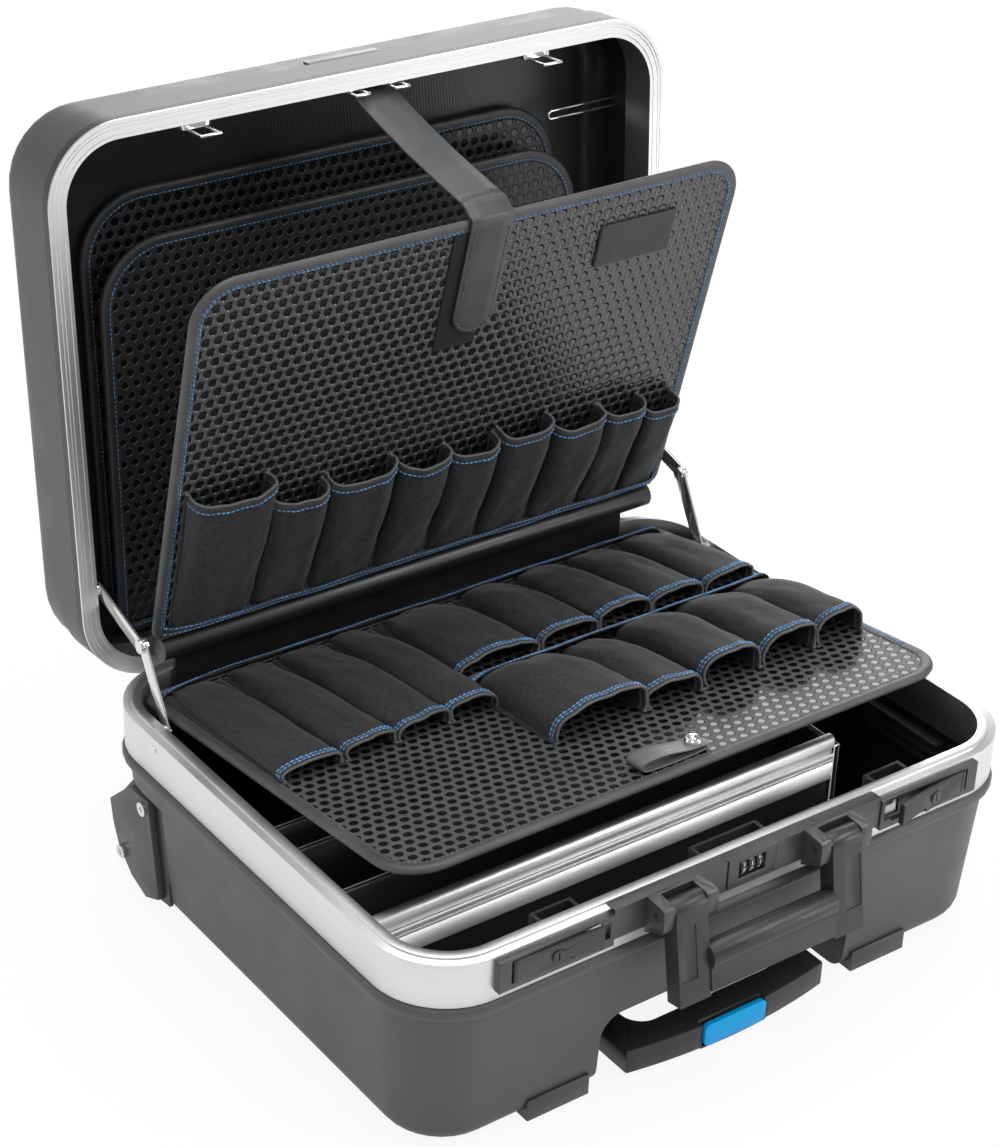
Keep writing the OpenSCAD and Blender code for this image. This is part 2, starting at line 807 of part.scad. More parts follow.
module dividers() {
    top = rim_z - divider_drop - 8;
    low = tube_z + sleeve_h / 2 + 2 + shell_t + gap;
    x0 = -inner_w / 2 + 6;
    color([0.35, 0.36, 0.37]) place() {
        divider_plate(divider_y + 35, x0, divider_end);
        divider_plate(divider_y + 88, x0, divider_end);
        divider_plate(divider_y + 116, x0, divider_end);
        block(divider_end + gap, divider_end + gap + divider_t, divider_y - 8, rail_y - 12, low, top);
    }
}

module side_rails() {
    z0 = rim_z - 62;
    color([0.12, 0.12, 0.12]) place() both_sides() difference() {
        block(inner_w / 2 - 5.5, rim_w / 2 - 1.8, -rim_d / 2 + 60, rim_d / 2 - 80, z0, z0 + 20);
        for (z = [5, 13]) block(inner_w / 2 - 7, inner_w / 2 - 4, -rim_d / 2, rim_d / 2,
            z0 + z, z0 + z + 2);
    }
}

module board_rail() {
    web_y = inner_d / 2 - gap;
    web_w = inner_w - 2 * (rim_r - rim_t) - 2;
    color([0.05, 0.05, 0.05]) place() {
        rod_x(rail_r, -rail_w / 2, rail_w / 2, rail_y, rail_z);
        translate([-web_w / 2, 0, 0]) rotate([90, 0, 90]) linear_extrude(web_w) {
            translate([web_y - 3, rim_z - frame_h]) square([3, rail_z - rim_z + frame_h]);
            translate([rail_y, rail_z - 5]) square([web_y - rail_y, 5]);
            translate([rail_y - 9, base_board_z - binding_t / 2 - gap - 1.6])
                square([web_y - rail_y + 9, 1.6]);
        }
    }
}

// ---------- hinges ----------

// One leaf with its knuckles, drawn for the right hinge
module hinge_leaf(z0, z1, spans) {
    for (s = spans) {
        rod_x(knuckle_r, hinge_x + s[0], hinge_x + s[1], hinge_y, hinge_z);
        block(hinge_x + s[0], hinge_x + s[1], frame_d / 2, frame_d / 2 + 1.4,
            min(z0, hinge_z), max(z1, hinge_z));
    }
    block(hinge_x - hinge_w / 2, hinge_x + hinge_w / 2, frame_d / 2, frame_d / 2 + 1.4, z0, z1);
}

module hinge_base_leaves() {
    half = hinge_w / 2;
    color([0.66, 0.67, 0.68]) place() both_sides() difference() {
        union() {
            hinge_leaf(rim_z - frame_h + 3, hinge_z - 5.5, [[-half, -16], [16, half]]);
            rod_x(hinge_pin_r, hinge_x - 20, hinge_x + 20, hinge_y, hinge_z);
        }
        block(hinge_x - half - 1, hinge_x + half + 1, hinge_y - 6, rim_d / 2 + 0.1,
            hinge_z - 9, hinge_z + 9);
    }
}

module hinge_lid_leaves() {
    half = hinge_w / 2;
    color([0.66, 0.67, 0.68]) open_lid() both_sides() difference() {
        hinge_leaf(rim_z + 2, rim_z + 22, [[-15.7, 15.7]]);
        rod_x(hinge_pin_r + 0.06, hinge_x - half, hinge_x + half, hinge_y, hinge_z);
        block(hinge_x - half - 1, hinge_x + half + 1, hinge_y - 6, rim_d / 2 + 0.1,
            hinge_z - 9, hinge_z + 9);
    }
}

// ---------- lid ----------

module lid_frame() {
    low = rim_z + gap;
    color([0.82, 0.83, 0.84]) open_lid() difference() {
        union() {
            ring(frame_w, frame_d, frame_r, frame_t, low, rim_z + frame_h);
            ring(frame_w, frame_d, frame_r, frame_out + rim_t, low, low + 4);
            ring(rim_w, rim_d, rim_r, frame_t, low, rim_z + frame_h);
        }
        for (inset = [2.4, 4.8, 9.2])
            ring(frame_w - 2 * inset, frame_d - 2 * inset, frame_r - inset, 0.9, low - 1, low + 0.7);
        both_sides() block(hinge_x - hinge_w / 2 - 0.5, hinge_x + hinge_w / 2 + 0.5,
            rim_d / 2 + 0.2, skin_d, rim_z - 1, rim_z + 1.6);
    }
}

module lid_shell() {
    top = rim_z + lid_h;
    low = rim_z + frame_h + seam;
    color([0.34, 0.34, 0.35]) open_lid() difference() {
        union() {
            hull() {
                corner_discs(skin_w, skin_d, skin_r, low);
                corner_rings(skin_w, skin_d, skin_r, lid_edge_r, top - lid_edge_r);
            }
            ring(skin_w - 2 * (shell_t + seam - 2.2), skin_d - 2 * (shell_t + seam - 2.2),
                skin_r - (shell_t + seam - 2.2), 2, rim_z + frame_h - 14, low + 1);
        }
        hull() {
            corner_discs(rim_w + 2 * seam, rim_d + 2 * seam, rim_r + seam, rim_z + frame_h - 16);
            corner_rings(rim_w + 2 * seam, rim_d + 2 * seam, rim_r + seam, lid_edge_r - shell_t,
                top - lid_edge_r);
        }
        ring(rim_w - 90, rim_d - 90, rim_r - 20, 7, top - 1, top + 1);
        ring(rim_w - 170, rim_d - 170, rim_r - 36, 5, top - 1, top + 1);
    }
}

// Wire loop that hangs below the rim, with its foot plate on the frame
module wire_loop(x, w, y, drop, foot) {
    wire = 1.1;
    for (s = [-1, 1]) translate([x + s * (w / 2 - wire), y, rim_z - drop + wire])
        cylinder(r = wire, h = drop + 6);
    rod_x(wire, x - w / 2, x + w / 2, y, rim_z - drop + wire);
    block(x - w / 2 - 3, x + w / 2 + 3, frame_t - rim_d / 2, y, rim_z + 5, rim_z + foot);
}

module lid_catches() {
    color([0.80, 0.81, 0.82]) open_lid() {
        both_sides() wire_loop(catch_x, 16, 5 - inner_d / 2, 15, 20);
        both_sides() wire_loop(16, 12, 2 - inner_d / 2, 8, 11);
    }
}

module badge_plate() {
    color([0.12, 0.12, 0.12]) open_lid() translate([0, -skin_d / 2, rim_z + frame_h + 9])
        rotate([90, 0, 0]) linear_extrude(1) rounded_rect(58, 10, 2);
}

module wire_clip() {
    y = -118;
    z = rim_z + lid_h - lid_edge_r;
    wall = rim_w / 2 + seam;
    color([0.80, 0.81, 0.82]) open_lid() {
        for (s = [-3, 3]) rod_x(1, 190, wall, y + s, z);
        translate([190, y, z]) difference() {
            rotate_extrude() translate([3, 0]) circle(1);
            translate([0, -5, -5]) cube(10);
            mirror([0, 1, 0]) translate([0, -5, -5]) cube(10);
        }
    }
}

// ---------- tool boards ----------

// Board lying level, from its hinge line towards the front
module board_outline(w, l, inset) {
    r = board_r - inset;
    translate([0, -l / 2]) intersection() {
        union() {
            rounded_rect(w - 2 * inset, l - 2 * inset, r);
            translate([0, l / 4]) rounded_rect(w - 2 * inset, l / 2 - inset * 2, heel_r - inset);
        }
        square([w, l], center = true);
    }
}

module board_plate(w, l) {
    translate([0, 0, -board_t / 2]) linear_extrude(board_t) board_outline(w, l, binding_w - 1);
}

module board_binding(w, l) {
    translate([0, 0, -binding_t / 2]) difference() {
        linear_extrude(binding_t) board_outline(w, l, 0);
        translate([0, 0, -1]) linear_extrude(binding_t + 2) board_outline(w, l, binding_w);
        translate([0, 0, (binding_t - board_t) / 2]) linear_extrude(board_t)
            board_outline(w, l, binding_w - 1);
    }
}

// Arched pocket on the board's upper face: mouth towards the front, closing to the back.
// x0 and x1 are its sides, y0 its closed end and y1 its mouth.
module pocket(x0, x1, y0, y1, h) {
    w = x1 - x0;
    len = y0 - y1;
    drop = (h - 3) / len;
    r = (w * w / 4 + h * h) / (2 * h);
    top = binding_t / 2 + 0.05;
    intersection() {
        translate([(x0 + x1) / 2, y1, top + h - r]) rotate([90 + atan(drop), 0, 180])
            translate([0, 0, -20]) linear_extrude(len + 60) difference() {
                circle(r, $fn = 96);
                circle(r - cloth_t, $fn = 96);
            }
        block(x0, x1, y1, y0, top, top + h + 1);
    }
}

module front_board_pose() {
    place() translate([0, rail_y, rail_z]) rotate([-front_board_tilt, 0, 0])
        translate([0, -rail_r - gap, 0]) children();
}

// Turns a board so that its upper face in the drawing becomes the under face
module face_down() {
    mirror([0, 0, 1]) children();
}

module front_board() {
    color([0.16, 0.16, 0.16]) front_board_pose() board_plate(front_board_w, front_board_l);
}

module front_board_binding() {
    color([0.20, 0.20, 0.20]) front_board_pose() board_binding(front_board_w, front_board_l);
}

// Sides of the front board's pockets from left to right, and how far each mouth is down the board
board_scale = front_board_w / 440;
board_sides = [for (x = [-209, -145, -99, -44, 1, 44, 90, 136, 175, 209]) x * board_scale];
board_mouths = [130, 112, 114, 110, 108, 111, 104, 103, 96];

module front_pockets() {
    color([0.10, 0.10, 0.10]) front_board_pose() face_down() for (i = [0:len(board_mouths) - 1])
        pocket(board_sides[i] + 0.3, board_sides[i + 1] - 0.3, -8, -board_mouths[i], 14);
}

// The strap runs from the lid's inner wall over the front board's top edge and down its face
strap_w = 34;
strap_t = 3;
strap_l = 91;
strap_x = 2;
strap_skew = 0;
strap_lift = 3;
strap_seat = 31;
board_reach = front_board_l + rail_r + gap;
strap_y = rail_y - board_reach * cos(front_board_tilt);
strap_z = rail_z + board_reach * sin(front_board_tilt);
seat_y = strap_lift + strap_t - 0.2 + frame_t - rim_d / 2 - hinge_y;
seat_z = rim_z + strap_seat - hinge_z;
strap_dy = hinge_y + seat_y * cos(lid_open) + seat_z * sin(lid_open) - strap_y;
strap_dz = hinge_z - seat_y * sin(lid_open) + seat_z * cos(lid_open) - strap_z;

module strap_end() {
    x0 = -strap_w / 2;
    far = binding_t / 2 + gap;
    color([0.22, 0.22, 0.22]) front_board_pose() translate([strap_x, -front_board_l, 0]) {
        translate([0, -gap, -far]) rotate([0, 0, strap_skew])
            block(x0, x0 + strap_w, 0, strap_l, -strap_t, 0);
        block(x0, x0 + strap_w, -gap - strap_t, -gap, -far - strap_t, far + 4);
    }
}

module strap() {
    run = sqrt(pow(strap_dy, 2) + pow(strap_dz, 2));
    color([0.24, 0.24, 0.25]) place() translate([strap_x, strap_y, strap_z])
        rotate([atan2(strap_dz, strap_dy), 0, 0]) rotate([0, 0, strap_skew])
            translate([-strap_w / 2, 10, strap_lift]) cube([strap_w, run - 13, strap_t]);
}

module rear_board(w, l) {
    board_plate(w, l);
    board_binding(w, l);
}

module rear_board_1() {
    color([0.14, 0.14, 0.14]) open_lid() translate([0, rear_y1, rear_z1])
        rotate([rear_lean1, 0, 0]) rear_board(rear_board_w, rear_board_l1);
}

module rear_board_2() {
    color([0.14, 0.14, 0.14]) open_lid() translate([0, rear_y2, rear_z2])
        rotate([rear_lean2, 0, 0]) rear_board(rear_board_w, rear_board_l2);
}

module base_board_pose() {
    place() translate([0, rail_y, base_board_z]) rotate([-base_board_tilt, 0, 0]) children();
}

module base_board() {
    color([0.17, 0.17, 0.17]) base_board_pose() board_plate(base_board_w, base_board_l);
}

module base_board_binding() {
    color([0.21, 0.21, 0.21]) base_board_pose() board_binding(base_board_w, base_board_l);
}

// Sides of the base board's pockets from left to right
side_scale = base_board_w / 456;
rear_sides = [for (x = [-213, -172, -132, -88, -48, 22, 74, 122, 171, 214]) x * side_scale];
front_sides = [for (x = [-54, 23, 72, 124, 174, 218]) x * side_scale];
rear_mouth_left = -173;
rear_mouth_right = -126;
front_mouth = -243;

module base_pockets_rear() {
    color([0.11, 0.11, 0.11]) base_board_pose() for (i = [0:len(rear_sides) - 2])
        pocket(rear_sides[i] + 0.3, rear_sides[i + 1] - 0.3, -16,
            i < 4 ? rear_mouth_left : rear_mouth_right, i < 4 ? 13.5 : 14.4);
}

module base_pockets_front() {
    color([0.11, 0.11, 0.11]) base_board_pose() for (i = [0:len(front_sides) - 2])
        pocket(front_sides[i] + 0.3, front_sides[i + 1] - 0.3, rear_mouth_right - 6,
            front_mouth, 21);
}

snap_x = 18;
snap_y = -304;

module finger_loop() {
    z0 = binding_t / 2 + 0.1;
    color([0.20, 0.20, 0.20]) base_board_pose() translate([snap_x - 56, snap_y, z0]) difference() {
        rotate([90, 0, 0]) translate([0, 0, -8]) linear_extrude(16) difference() {
            union() {
                translate([7, 5]) circle(5);
                translate([7, 0]) square([49, 2]);
                translate([7, 4]) square([36, 6]);
                translate([36, 2]) square([20, 2]);
            }
            translate([7, 5]) circle(3.4);
            translate([7, 2]) square([29, 5.4]);
            translate([36, 4.2]) square([20, 10]);
        }
        translate([50, 0, -1]) cylinder(r = 2.2, h = 9);
    }
}

module loop_snap() {
    z0 = binding_t / 2 + 4.3;
    color([0.75, 0.76, 0.77]) base_board_pose() translate([snap_x - 6, snap_y, z0]) {
        difference() {
            cylinder(r = 6, h = 2);
            translate([0, 0, 1]) cylinder(r = 3, h = 2);
        }
        translate([0, 0, -4]) cylinder(r = 2, h = 4.5);
    }
}

// ---------- stays ----------

// Flat link from the origin along +Y, with a pivot stud at the origin and a disc at its end
module link(x0, stud0, stud1, disc0, disc1) {
    block(x0, x0 + stay_t, 0, stay_l, -stay_w / 2, stay_w / 2);
    rod_x(stay_w / 2, x0, x0 + stay_t, 0, 0);
    rod_x(stay_w / 2, x0, x0 + stay_t, stay_l, 0);
    rod_x(4, stud0, stud1, 0, 0);
    rod_x(5, disc0, disc1, stay_l, 0);
}

module stay_lower() {
    x0 = stay_x - 2.6;
    place() translate([0, stay_base_y, stay_base_z]) rotate([stay_lower_tilt, 0, 0])
        link(x0, x0 - 1, inner_w / 2 - gap, x0 - 1.6, x0 + stay_t);
}

module stay_upper() {
    x0 = stay_x - 2.6 + stay_t + gap;
    a = stay_lid_y - hinge_y;
    b = stay_lid_z - hinge_z;
    y = hinge_y + a * cos(lid_open) + b * sin(lid_open);
    z = hinge_z - a * sin(lid_open) + b * cos(lid_open);
    place() translate([0, y, z]) rotate([180 + stay_upper_tilt, 0, 0])
        link(x0, x0, inner_w / 2 - gap, x0, x0 + stay_t + 1);
}

module stay_lower_left() {
    color([0.72, 0.71, 0.68]) mirror([1, 0, 0]) stay_lower();
}

module stay_lower_right() {
    color([0.72, 0.71, 0.68]) stay_lower();
}

module stay_upper_left() {
    color([0.72, 0.71, 0.68]) mirror([1, 0, 0]) stay_upper();
}

module stay_upper_right() {
    color([0.72, 0.71, 0.68]) stay_upper();
}

// ---------- assembly ----------

base_shell();
base_frame();
base_feet();
wheel_cover_left();
wheel_cover_right();
wheel_arches();
wheel_axles();
cover_bolts();
lock_bar();
latch_plates();
lock_housing();
catch_boxes();
handle_brackets();
frame_rivets();
trolley_sleeves();
trolley_cover();
divider_front();
divider_board_front();
dividers();
side_rails();
board_rail();
hinge_base_leaves();
lid_shell();
lid_frame();
lid_catches();
badge_plate();
wire_clip();
hinge_lid_leaves();
strap();
front_board();
front_board_binding();
front_pockets();
strap_end();
rear_board_1();
rear_board_2();
base_board();
base_board_binding();
base_pockets_rear();
base_pockets_front();
finger_loop();
loop_snap();
stay_upper_left();
stay_upper_right();
stay_lower_left();
stay_lower_right();
handle_arms();
handle_grip();
latch_lever_left();
latch_lever_right();
key_plug_left();
key_plug_right();
dial_1();
dial_2();
dial_3();
trolley_mid_tubes();
trolley_inner_tubes();
trolley_grip();
trolley_button();
wheel_left();
wheel_right();
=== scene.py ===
"""Dresses the CAD frame of a wheeled hard tool case: finishes, tool boards, pockets, strap and studio."""
import json
import logging
import math
from dataclasses import dataclass, field
from enum import Enum
from typing import Sequence

import bpy
from mathutils import Matrix, Vector, noise


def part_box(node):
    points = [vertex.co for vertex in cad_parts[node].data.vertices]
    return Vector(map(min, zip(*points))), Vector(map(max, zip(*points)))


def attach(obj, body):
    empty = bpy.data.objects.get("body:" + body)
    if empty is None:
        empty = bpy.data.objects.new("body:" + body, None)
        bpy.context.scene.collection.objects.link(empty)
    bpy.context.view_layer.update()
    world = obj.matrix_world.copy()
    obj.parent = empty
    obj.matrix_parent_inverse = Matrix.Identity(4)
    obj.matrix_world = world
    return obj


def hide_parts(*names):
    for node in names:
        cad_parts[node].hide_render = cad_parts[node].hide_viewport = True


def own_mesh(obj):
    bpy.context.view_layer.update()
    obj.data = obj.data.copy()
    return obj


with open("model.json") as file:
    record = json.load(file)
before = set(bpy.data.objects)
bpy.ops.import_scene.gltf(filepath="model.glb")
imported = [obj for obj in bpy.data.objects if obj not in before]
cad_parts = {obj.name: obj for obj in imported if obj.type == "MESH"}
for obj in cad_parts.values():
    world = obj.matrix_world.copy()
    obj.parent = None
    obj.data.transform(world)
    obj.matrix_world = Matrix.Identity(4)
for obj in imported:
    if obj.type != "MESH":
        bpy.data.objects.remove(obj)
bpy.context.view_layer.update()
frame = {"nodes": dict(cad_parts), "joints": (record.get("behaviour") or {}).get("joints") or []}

MM = 0.001
LOG = logging.getLogger("tool_case")
JOINTS = {joint["name"]: joint for joint in frame["joints"]}
NODES = frame["nodes"]
LID_OPEN = math.radians(93.7)
WELD_GAP = 0.01 * MM
CREASE_ANGLE = math.radians(38.0)
Colour = tuple[float, float, float]
Socket = bpy.types.NodeSocket
Value = Socket | float
Tint = Socket | Colour


class Slot(Enum):
    """The record's material slots that new pieces belong to."""

    BOARD = "board_cloth"
    POCKET = "pocket_cloth"
    STRAP = "strap_leather"
    STEEL = "bright_steel"
    DIAL = "black_plastic"


class Side(Enum):
    """Which face of a board something is on."""

    UPPER = 1
    UNDER = -1


def joint_point(name: str) -> Vector:
    """The place of a hinge in the row frame, in metres."""
    return Vector(JOINTS[name]["pos_m"])


def shade(colour: Colour, factor: float, lift: float = 0.0) -> Colour:
    """A colour made paler or darker by a factor, then raised by a lift."""
    return tuple(min(channel * factor + lift, 1) for channel in colour)


# ---------------------------------------------------------------- finishes


class Graph:
    """Builds the node tree of one material."""

    def __init__(self, name: str) -> None:
        """Starts an empty tree.

        Args:
            name: The material's name.
        """
        self.material = bpy.data.materials.new(name)
        self.material.use_nodes = True
        self.tree = self.material.node_tree
        self.tree.nodes.clear()
        self.point = self.add("ShaderNodeTexCoord").outputs["Object"]

    def add(self, kind: str, sockets: dict | None = None, **settings: object) -> bpy.types.Node:
        """Adds one node.

        Args:
            kind: Blender's name of the node type.
            sockets: Values or output sockets for the node's inputs, by name or number.
            **settings: Attributes set on the node.

        Returns:
            The new node.
        """
        node = self.tree.nodes.new(kind)
        for key, value in settings.items():
            setattr(node, key, value)
        for key, value in (sockets or {}).items():
            if isinstance(value, Socket):
                self.tree.links.new(value, node.inputs[key])
            else:
                node.inputs[key].default_value = value
        return node

    def axes(self) -> Sequence[Socket]:
        """The object's X, Y and Z coordinates."""
        return self.add("ShaderNodeSeparateXYZ", {0: self.point}).outputs

    def math(self, operation: str, *values: Value) -> Socket:
        """The result of a maths node on one, two or three values."""
        return self.add("ShaderNodeMath", dict(enumerate(values)), operation=operation).outputs[0]

    def plus(self, first: Value, second: Value, factor: float) -> Socket:
        """The first value plus the second one times a factor."""
        return self.math("ADD", first, self.math("MULTIPLY", second, factor))

    def vector(self, operation: str, *values: Socket | Sequence[float]) -> Socket:
        """The result of a vector maths node.

        Args:
            operation: Blender's name of the operation.
            *values: Its inputs, as sockets or as three numbers.

        Returns:
            The result's socket, which is a number for a dot product.
        """
        inputs = {i: v if isinstance(v, Socket) else tuple(v) for i, v in enumerate(values)}
        node = self.add("ShaderNodeVectorMath", inputs, operation=operation)
        return node.outputs["Value" if operation == "DOT_PRODUCT" else "Vector"]

    def own_normal(self) -> Socket:
        """The face's normal in the object's own frame.

        Returns:
            The unit normal's socket.
        """
        normal = self.add("ShaderNodeNewGeometry").outputs["True Normal"]
        turned = self.add("ShaderNodeVectorTransform", {0: normal}, vector_type="NORMAL",
                          convert_from="WORLD", convert_to="OBJECT")
        return self.vector("NORMALIZE", turned.outputs[0])

    def leaning(self, normal: Socket, tilt: Socket | Sequence[float]) -> Socket:
        """A normal that leans by a tilt, at unit length."""
        return self.vector("NORMALIZE", self.vector("ADD", normal, tilt))

    def noise(self, scale: float, detail: float = 2.0, vector: Socket | None = None) -> Socket:
        """Noise from 0 to 1 with this many features a metre."""
        sockets = {"Vector": self.point if vector is None else vector, "Scale": scale, "Detail": detail}
        return self.add("ShaderNodeTexNoise", sockets).outputs[0]

    def cells(self, scale: float) -> Socket:
        """Distance to the nearest of scattered points, with this many a metre."""
        sockets = {"Vector": self.point, "Scale": scale}
        return self.add("ShaderNodeTexVoronoi", sockets).outputs["Distance"]

    def span(self, value: Value, low: float, high: float, to_low: float = 0.0,
             to_high: float = 1.0) -> Socket:
        """Maps a value's range to another one, clamped at both ends."""
        sockets = {0: value, 1: low, 2: high, 3: to_low, 4: to_high}
        return self.add("ShaderNodeMapRange", sockets).outputs[0]

    def between(self, amount: Socket, first: Value, second: Value) -> Socket:
        """Blends two numbers, where the amount is the second one's share."""
        return self.add("ShaderNodeMix", {0: amount, 2: first, 3: second}).outputs[0]

    def mix(self, amount: Value, first: Tint, second: Tint) -> Socket:
        """Blends two colours.

        Args:
            amount: How much of the second one shows, from 0 to 1.
            first: One colour.
            second: The other colour.

        Returns:
            The blend's socket.
        """
        node = self.add("ShaderNodeMix", {0: amount}, data_type="RGBA")
        for index, value in ((6, first), (7, second)):
            if isinstance(value, Socket):
                self.tree.links.new(value, node.inputs[index])
            else:
                node.inputs[index].default_value = (*value, 1.0)
        return node.outputs[2]

    def fade(self, value: Value, low: float, high: float, first: Tint, second: Tint) -> Socket:
        """The first colour below a low value and the second above a high one, blended in between."""
        return self.mix(self.span(value, low, high), first, second)

    def dome(self, share: Socket) -> Socket:
        """A rounded rise from 0 to 1, steep at its start and level at its end."""
        return self.math("SUBTRACT", 1.0, self.math("POWER", self.math("SUBTRACT", 1.0, share), 2.0))

    def bump(self, height: Value, distance: float, strength: float = 0.5) -> Socket:
        """A surface normal that follows a height, where a height of 1 is the distance."""
        sockets = {"Height": height, "Distance": distance, "Strength": strength}
        return self.add("ShaderNodeBump", sockets).outputs[0]

    def surface(self, colour: Socket, roughness: Value, normal: Socket,
                **extra: Value) -> bpy.types.Material:
        """Ends the tree in a principled shader.

        Args:
            colour: The colour's socket.
            roughness: A value or a socket.
            normal: The normal's socket.
            **extra: Further inputs, with underscores for the spaces in their names.

        Returns:
            The finished material.
        """
        sockets = {"Base Color": colour, "Roughness": roughness, "Normal": normal}
        sockets.update({key.replace("_", " "): value for key, value in extra.items()})
        shader = self.add("ShaderNodeBsdfPrincipled", sockets)
        self.add("ShaderNodeOutputMaterial", {0: shader.outputs[0]})
        return self.material


class Finish:
    """A surface that is built once and shared by every piece that asks for it."""

    name: str

    def make(self) -> bpy.types.Material:
        """Builds the material."""
        raise NotImplementedError

    @property
    def material(self) -> bpy.types.Material:
        """The shared material, built on first use."""
        return bpy.data.materials.get(self.name) or self.make()

    def on(self, piece: bpy.types.Object) -> bpy.types.Object:
        """Gives a piece this finish in place of all it had.

        Args:
            piece: The piece.

        Returns:
            The same piece.
        """
        piece.data.materials.clear()
        piece.data.materials.append(self.material)
        return piece


@dataclass(frozen=True)
class MouldedPlastic(Finish):
    """Moulded plastic with a fine grain and slightly paler, worn high spots.

    Attributes:
        grain: Pebbles a metre.
        grain_depth: Height of a pebble in metres.
        variation: How much paler or darker the worn spots are.
        clouds: Worn spots a metre.
        smears: Changes of gloss a metre.
    """

    name: str
    colour: Colour
    roughness: float = 0.45
    grain: float = 1100.0
    grain_depth: float = 0.00012
    variation: float = 0.18
    specular: float = 0.5
    clouds: float = 9.0
    smears: float = 45.0

    def make(self) -> bpy.types.Material:
        """Builds the material.

        Returns:
            The material.
        """
        g = Graph(self.name)
        pebble = g.cells(self.grain)
        height = g.plus(g.math("MULTIPLY", pebble, 0.7), g.noise(self.grain * 2.1), 0.3)
        worn = g.plus(g.noise(self.clouds, 3.0), pebble, 0.25)
        deep, pale = shade(self.colour, 1 - self.variation), shade(self.colour, 1 + self.variation, 0.004)
        colour = g.fade(worn, 0.35, 0.85, deep, pale)
        rough = g.span(g.noise(self.smears, 4.0), 0.3, 0.7, self.roughness - 0.05, self.roughness + 0.07)
        normal = g.bump(height, self.grain_depth, 0.55)
        return g.surface(colour, rough, normal, Specular_IOR_Level=self.specular)


@dataclass(frozen=True)
class ShellPlastic(Finish):
    """A case half: grained grey outside, ribbed black inside.

    Attributes:
        centre: A point inside the half, which tells its inner faces from its outer ones.
        inside_polish: How much the inside's roughness differs from the outside's.
        rib_pitch: Distance between two of the inside's fine ribs, in metres.
    """

    name: str
    centre: Vector
    outside: Colour = (0.058, 0.058, 0.061)
    inside: Colour = (0.016, 0.016, 0.017)
    grain: float = 900.0
    clouds: float = 5.0
    smears: float = 30.0
    roughness: tuple[float, float] = (0.40, 0.50)
    inside_polish: float = -0.06
    rib_pitch: float = 0.0026
    relief: float = 0.00016

    def make(self) -> bpy.types.Material:
        """Builds the material.

        Returns:
            The material.
        """
        g = Graph(self.name)
        facing = g.vector("DOT_PRODUCT", g.vector("SUBTRACT", g.point, self.centre), g.own_normal())
        inner = g.math("LESS_THAN", facing, 0.0)
        pebble = g.cells(self.grain)
        worn = g.plus(g.noise(self.clouds, 4.0), pebble, 0.2)
        grey = g.fade(worn, 0.3, 0.9, self.outside, shade(self.outside, 1.22))
        x, y, _ = g.axes()
        half_rib = self.rib_pitch / 2
        ribs = g.math("DIVIDE", g.math("PINGPONG", g.math("ADD", x, y), half_rib), half_rib)
        grain = g.plus(g.math("MULTIPLY", pebble, 0.8), g.noise(self.grain * 2.3), 0.3)
        smear = g.span(g.noise(self.smears, 3.0), 0.3, 0.7, *self.roughness)
        rough = g.plus(smear, inner, self.inside_polish)
        normal = g.bump(g.between(inner, grain, ribs), self.relief)
        return g.surface(g.mix(inner, grey, self.inside), rough, normal, Specular_IOR_Level=0.5)


@dataclass(frozen=True)
class BrushedMetal(Finish):
    """Metal with fine drawn lines and a little cloudy wear.

    Attributes:
        lines: Changes a metre along X, Y and Z, which are few along the drawn lines and many across them.
        depth: Depth of the lines in metres.
        dull: Brightness of the dull places, as a share of the colour.
    """

    name: str
    colour: Colour = (0.80, 0.81, 0.82)
    roughness: float = 0.27
    lines: tuple[float, float, float] = (18.0, 18.0, 2600.0)
    depth: float = 0.00004
    dull: float = 0.78
    clouds: float = 14.0

    def streaks(self, g: Graph) -> Socket:
        """The drawn lines, as noise from 0 to 1."""
        return g.noise(1.0, 3.0, g.vector("MULTIPLY", g.point, self.lines))

    def make(self) -> bpy.types.Material:
        """Builds the material.

        Returns:
            The material.
        """
        g = Graph(self.name)
        streak, cloud = self.streaks(g), g.noise(self.clouds, 3.0)
        colour = g.fade(g.plus(streak, cloud, 0.4), 0.45, 0.95, shade(self.colour, self.dull), self.colour)
        rough = g.span(g.math("ADD", streak, cloud), 0.7, 1.3, self.roughness - 0.05, self.roughness + 0.08)
        return g.surface(colour, rough, g.bump(streak, self.depth, 0.35), Metallic=1.0)


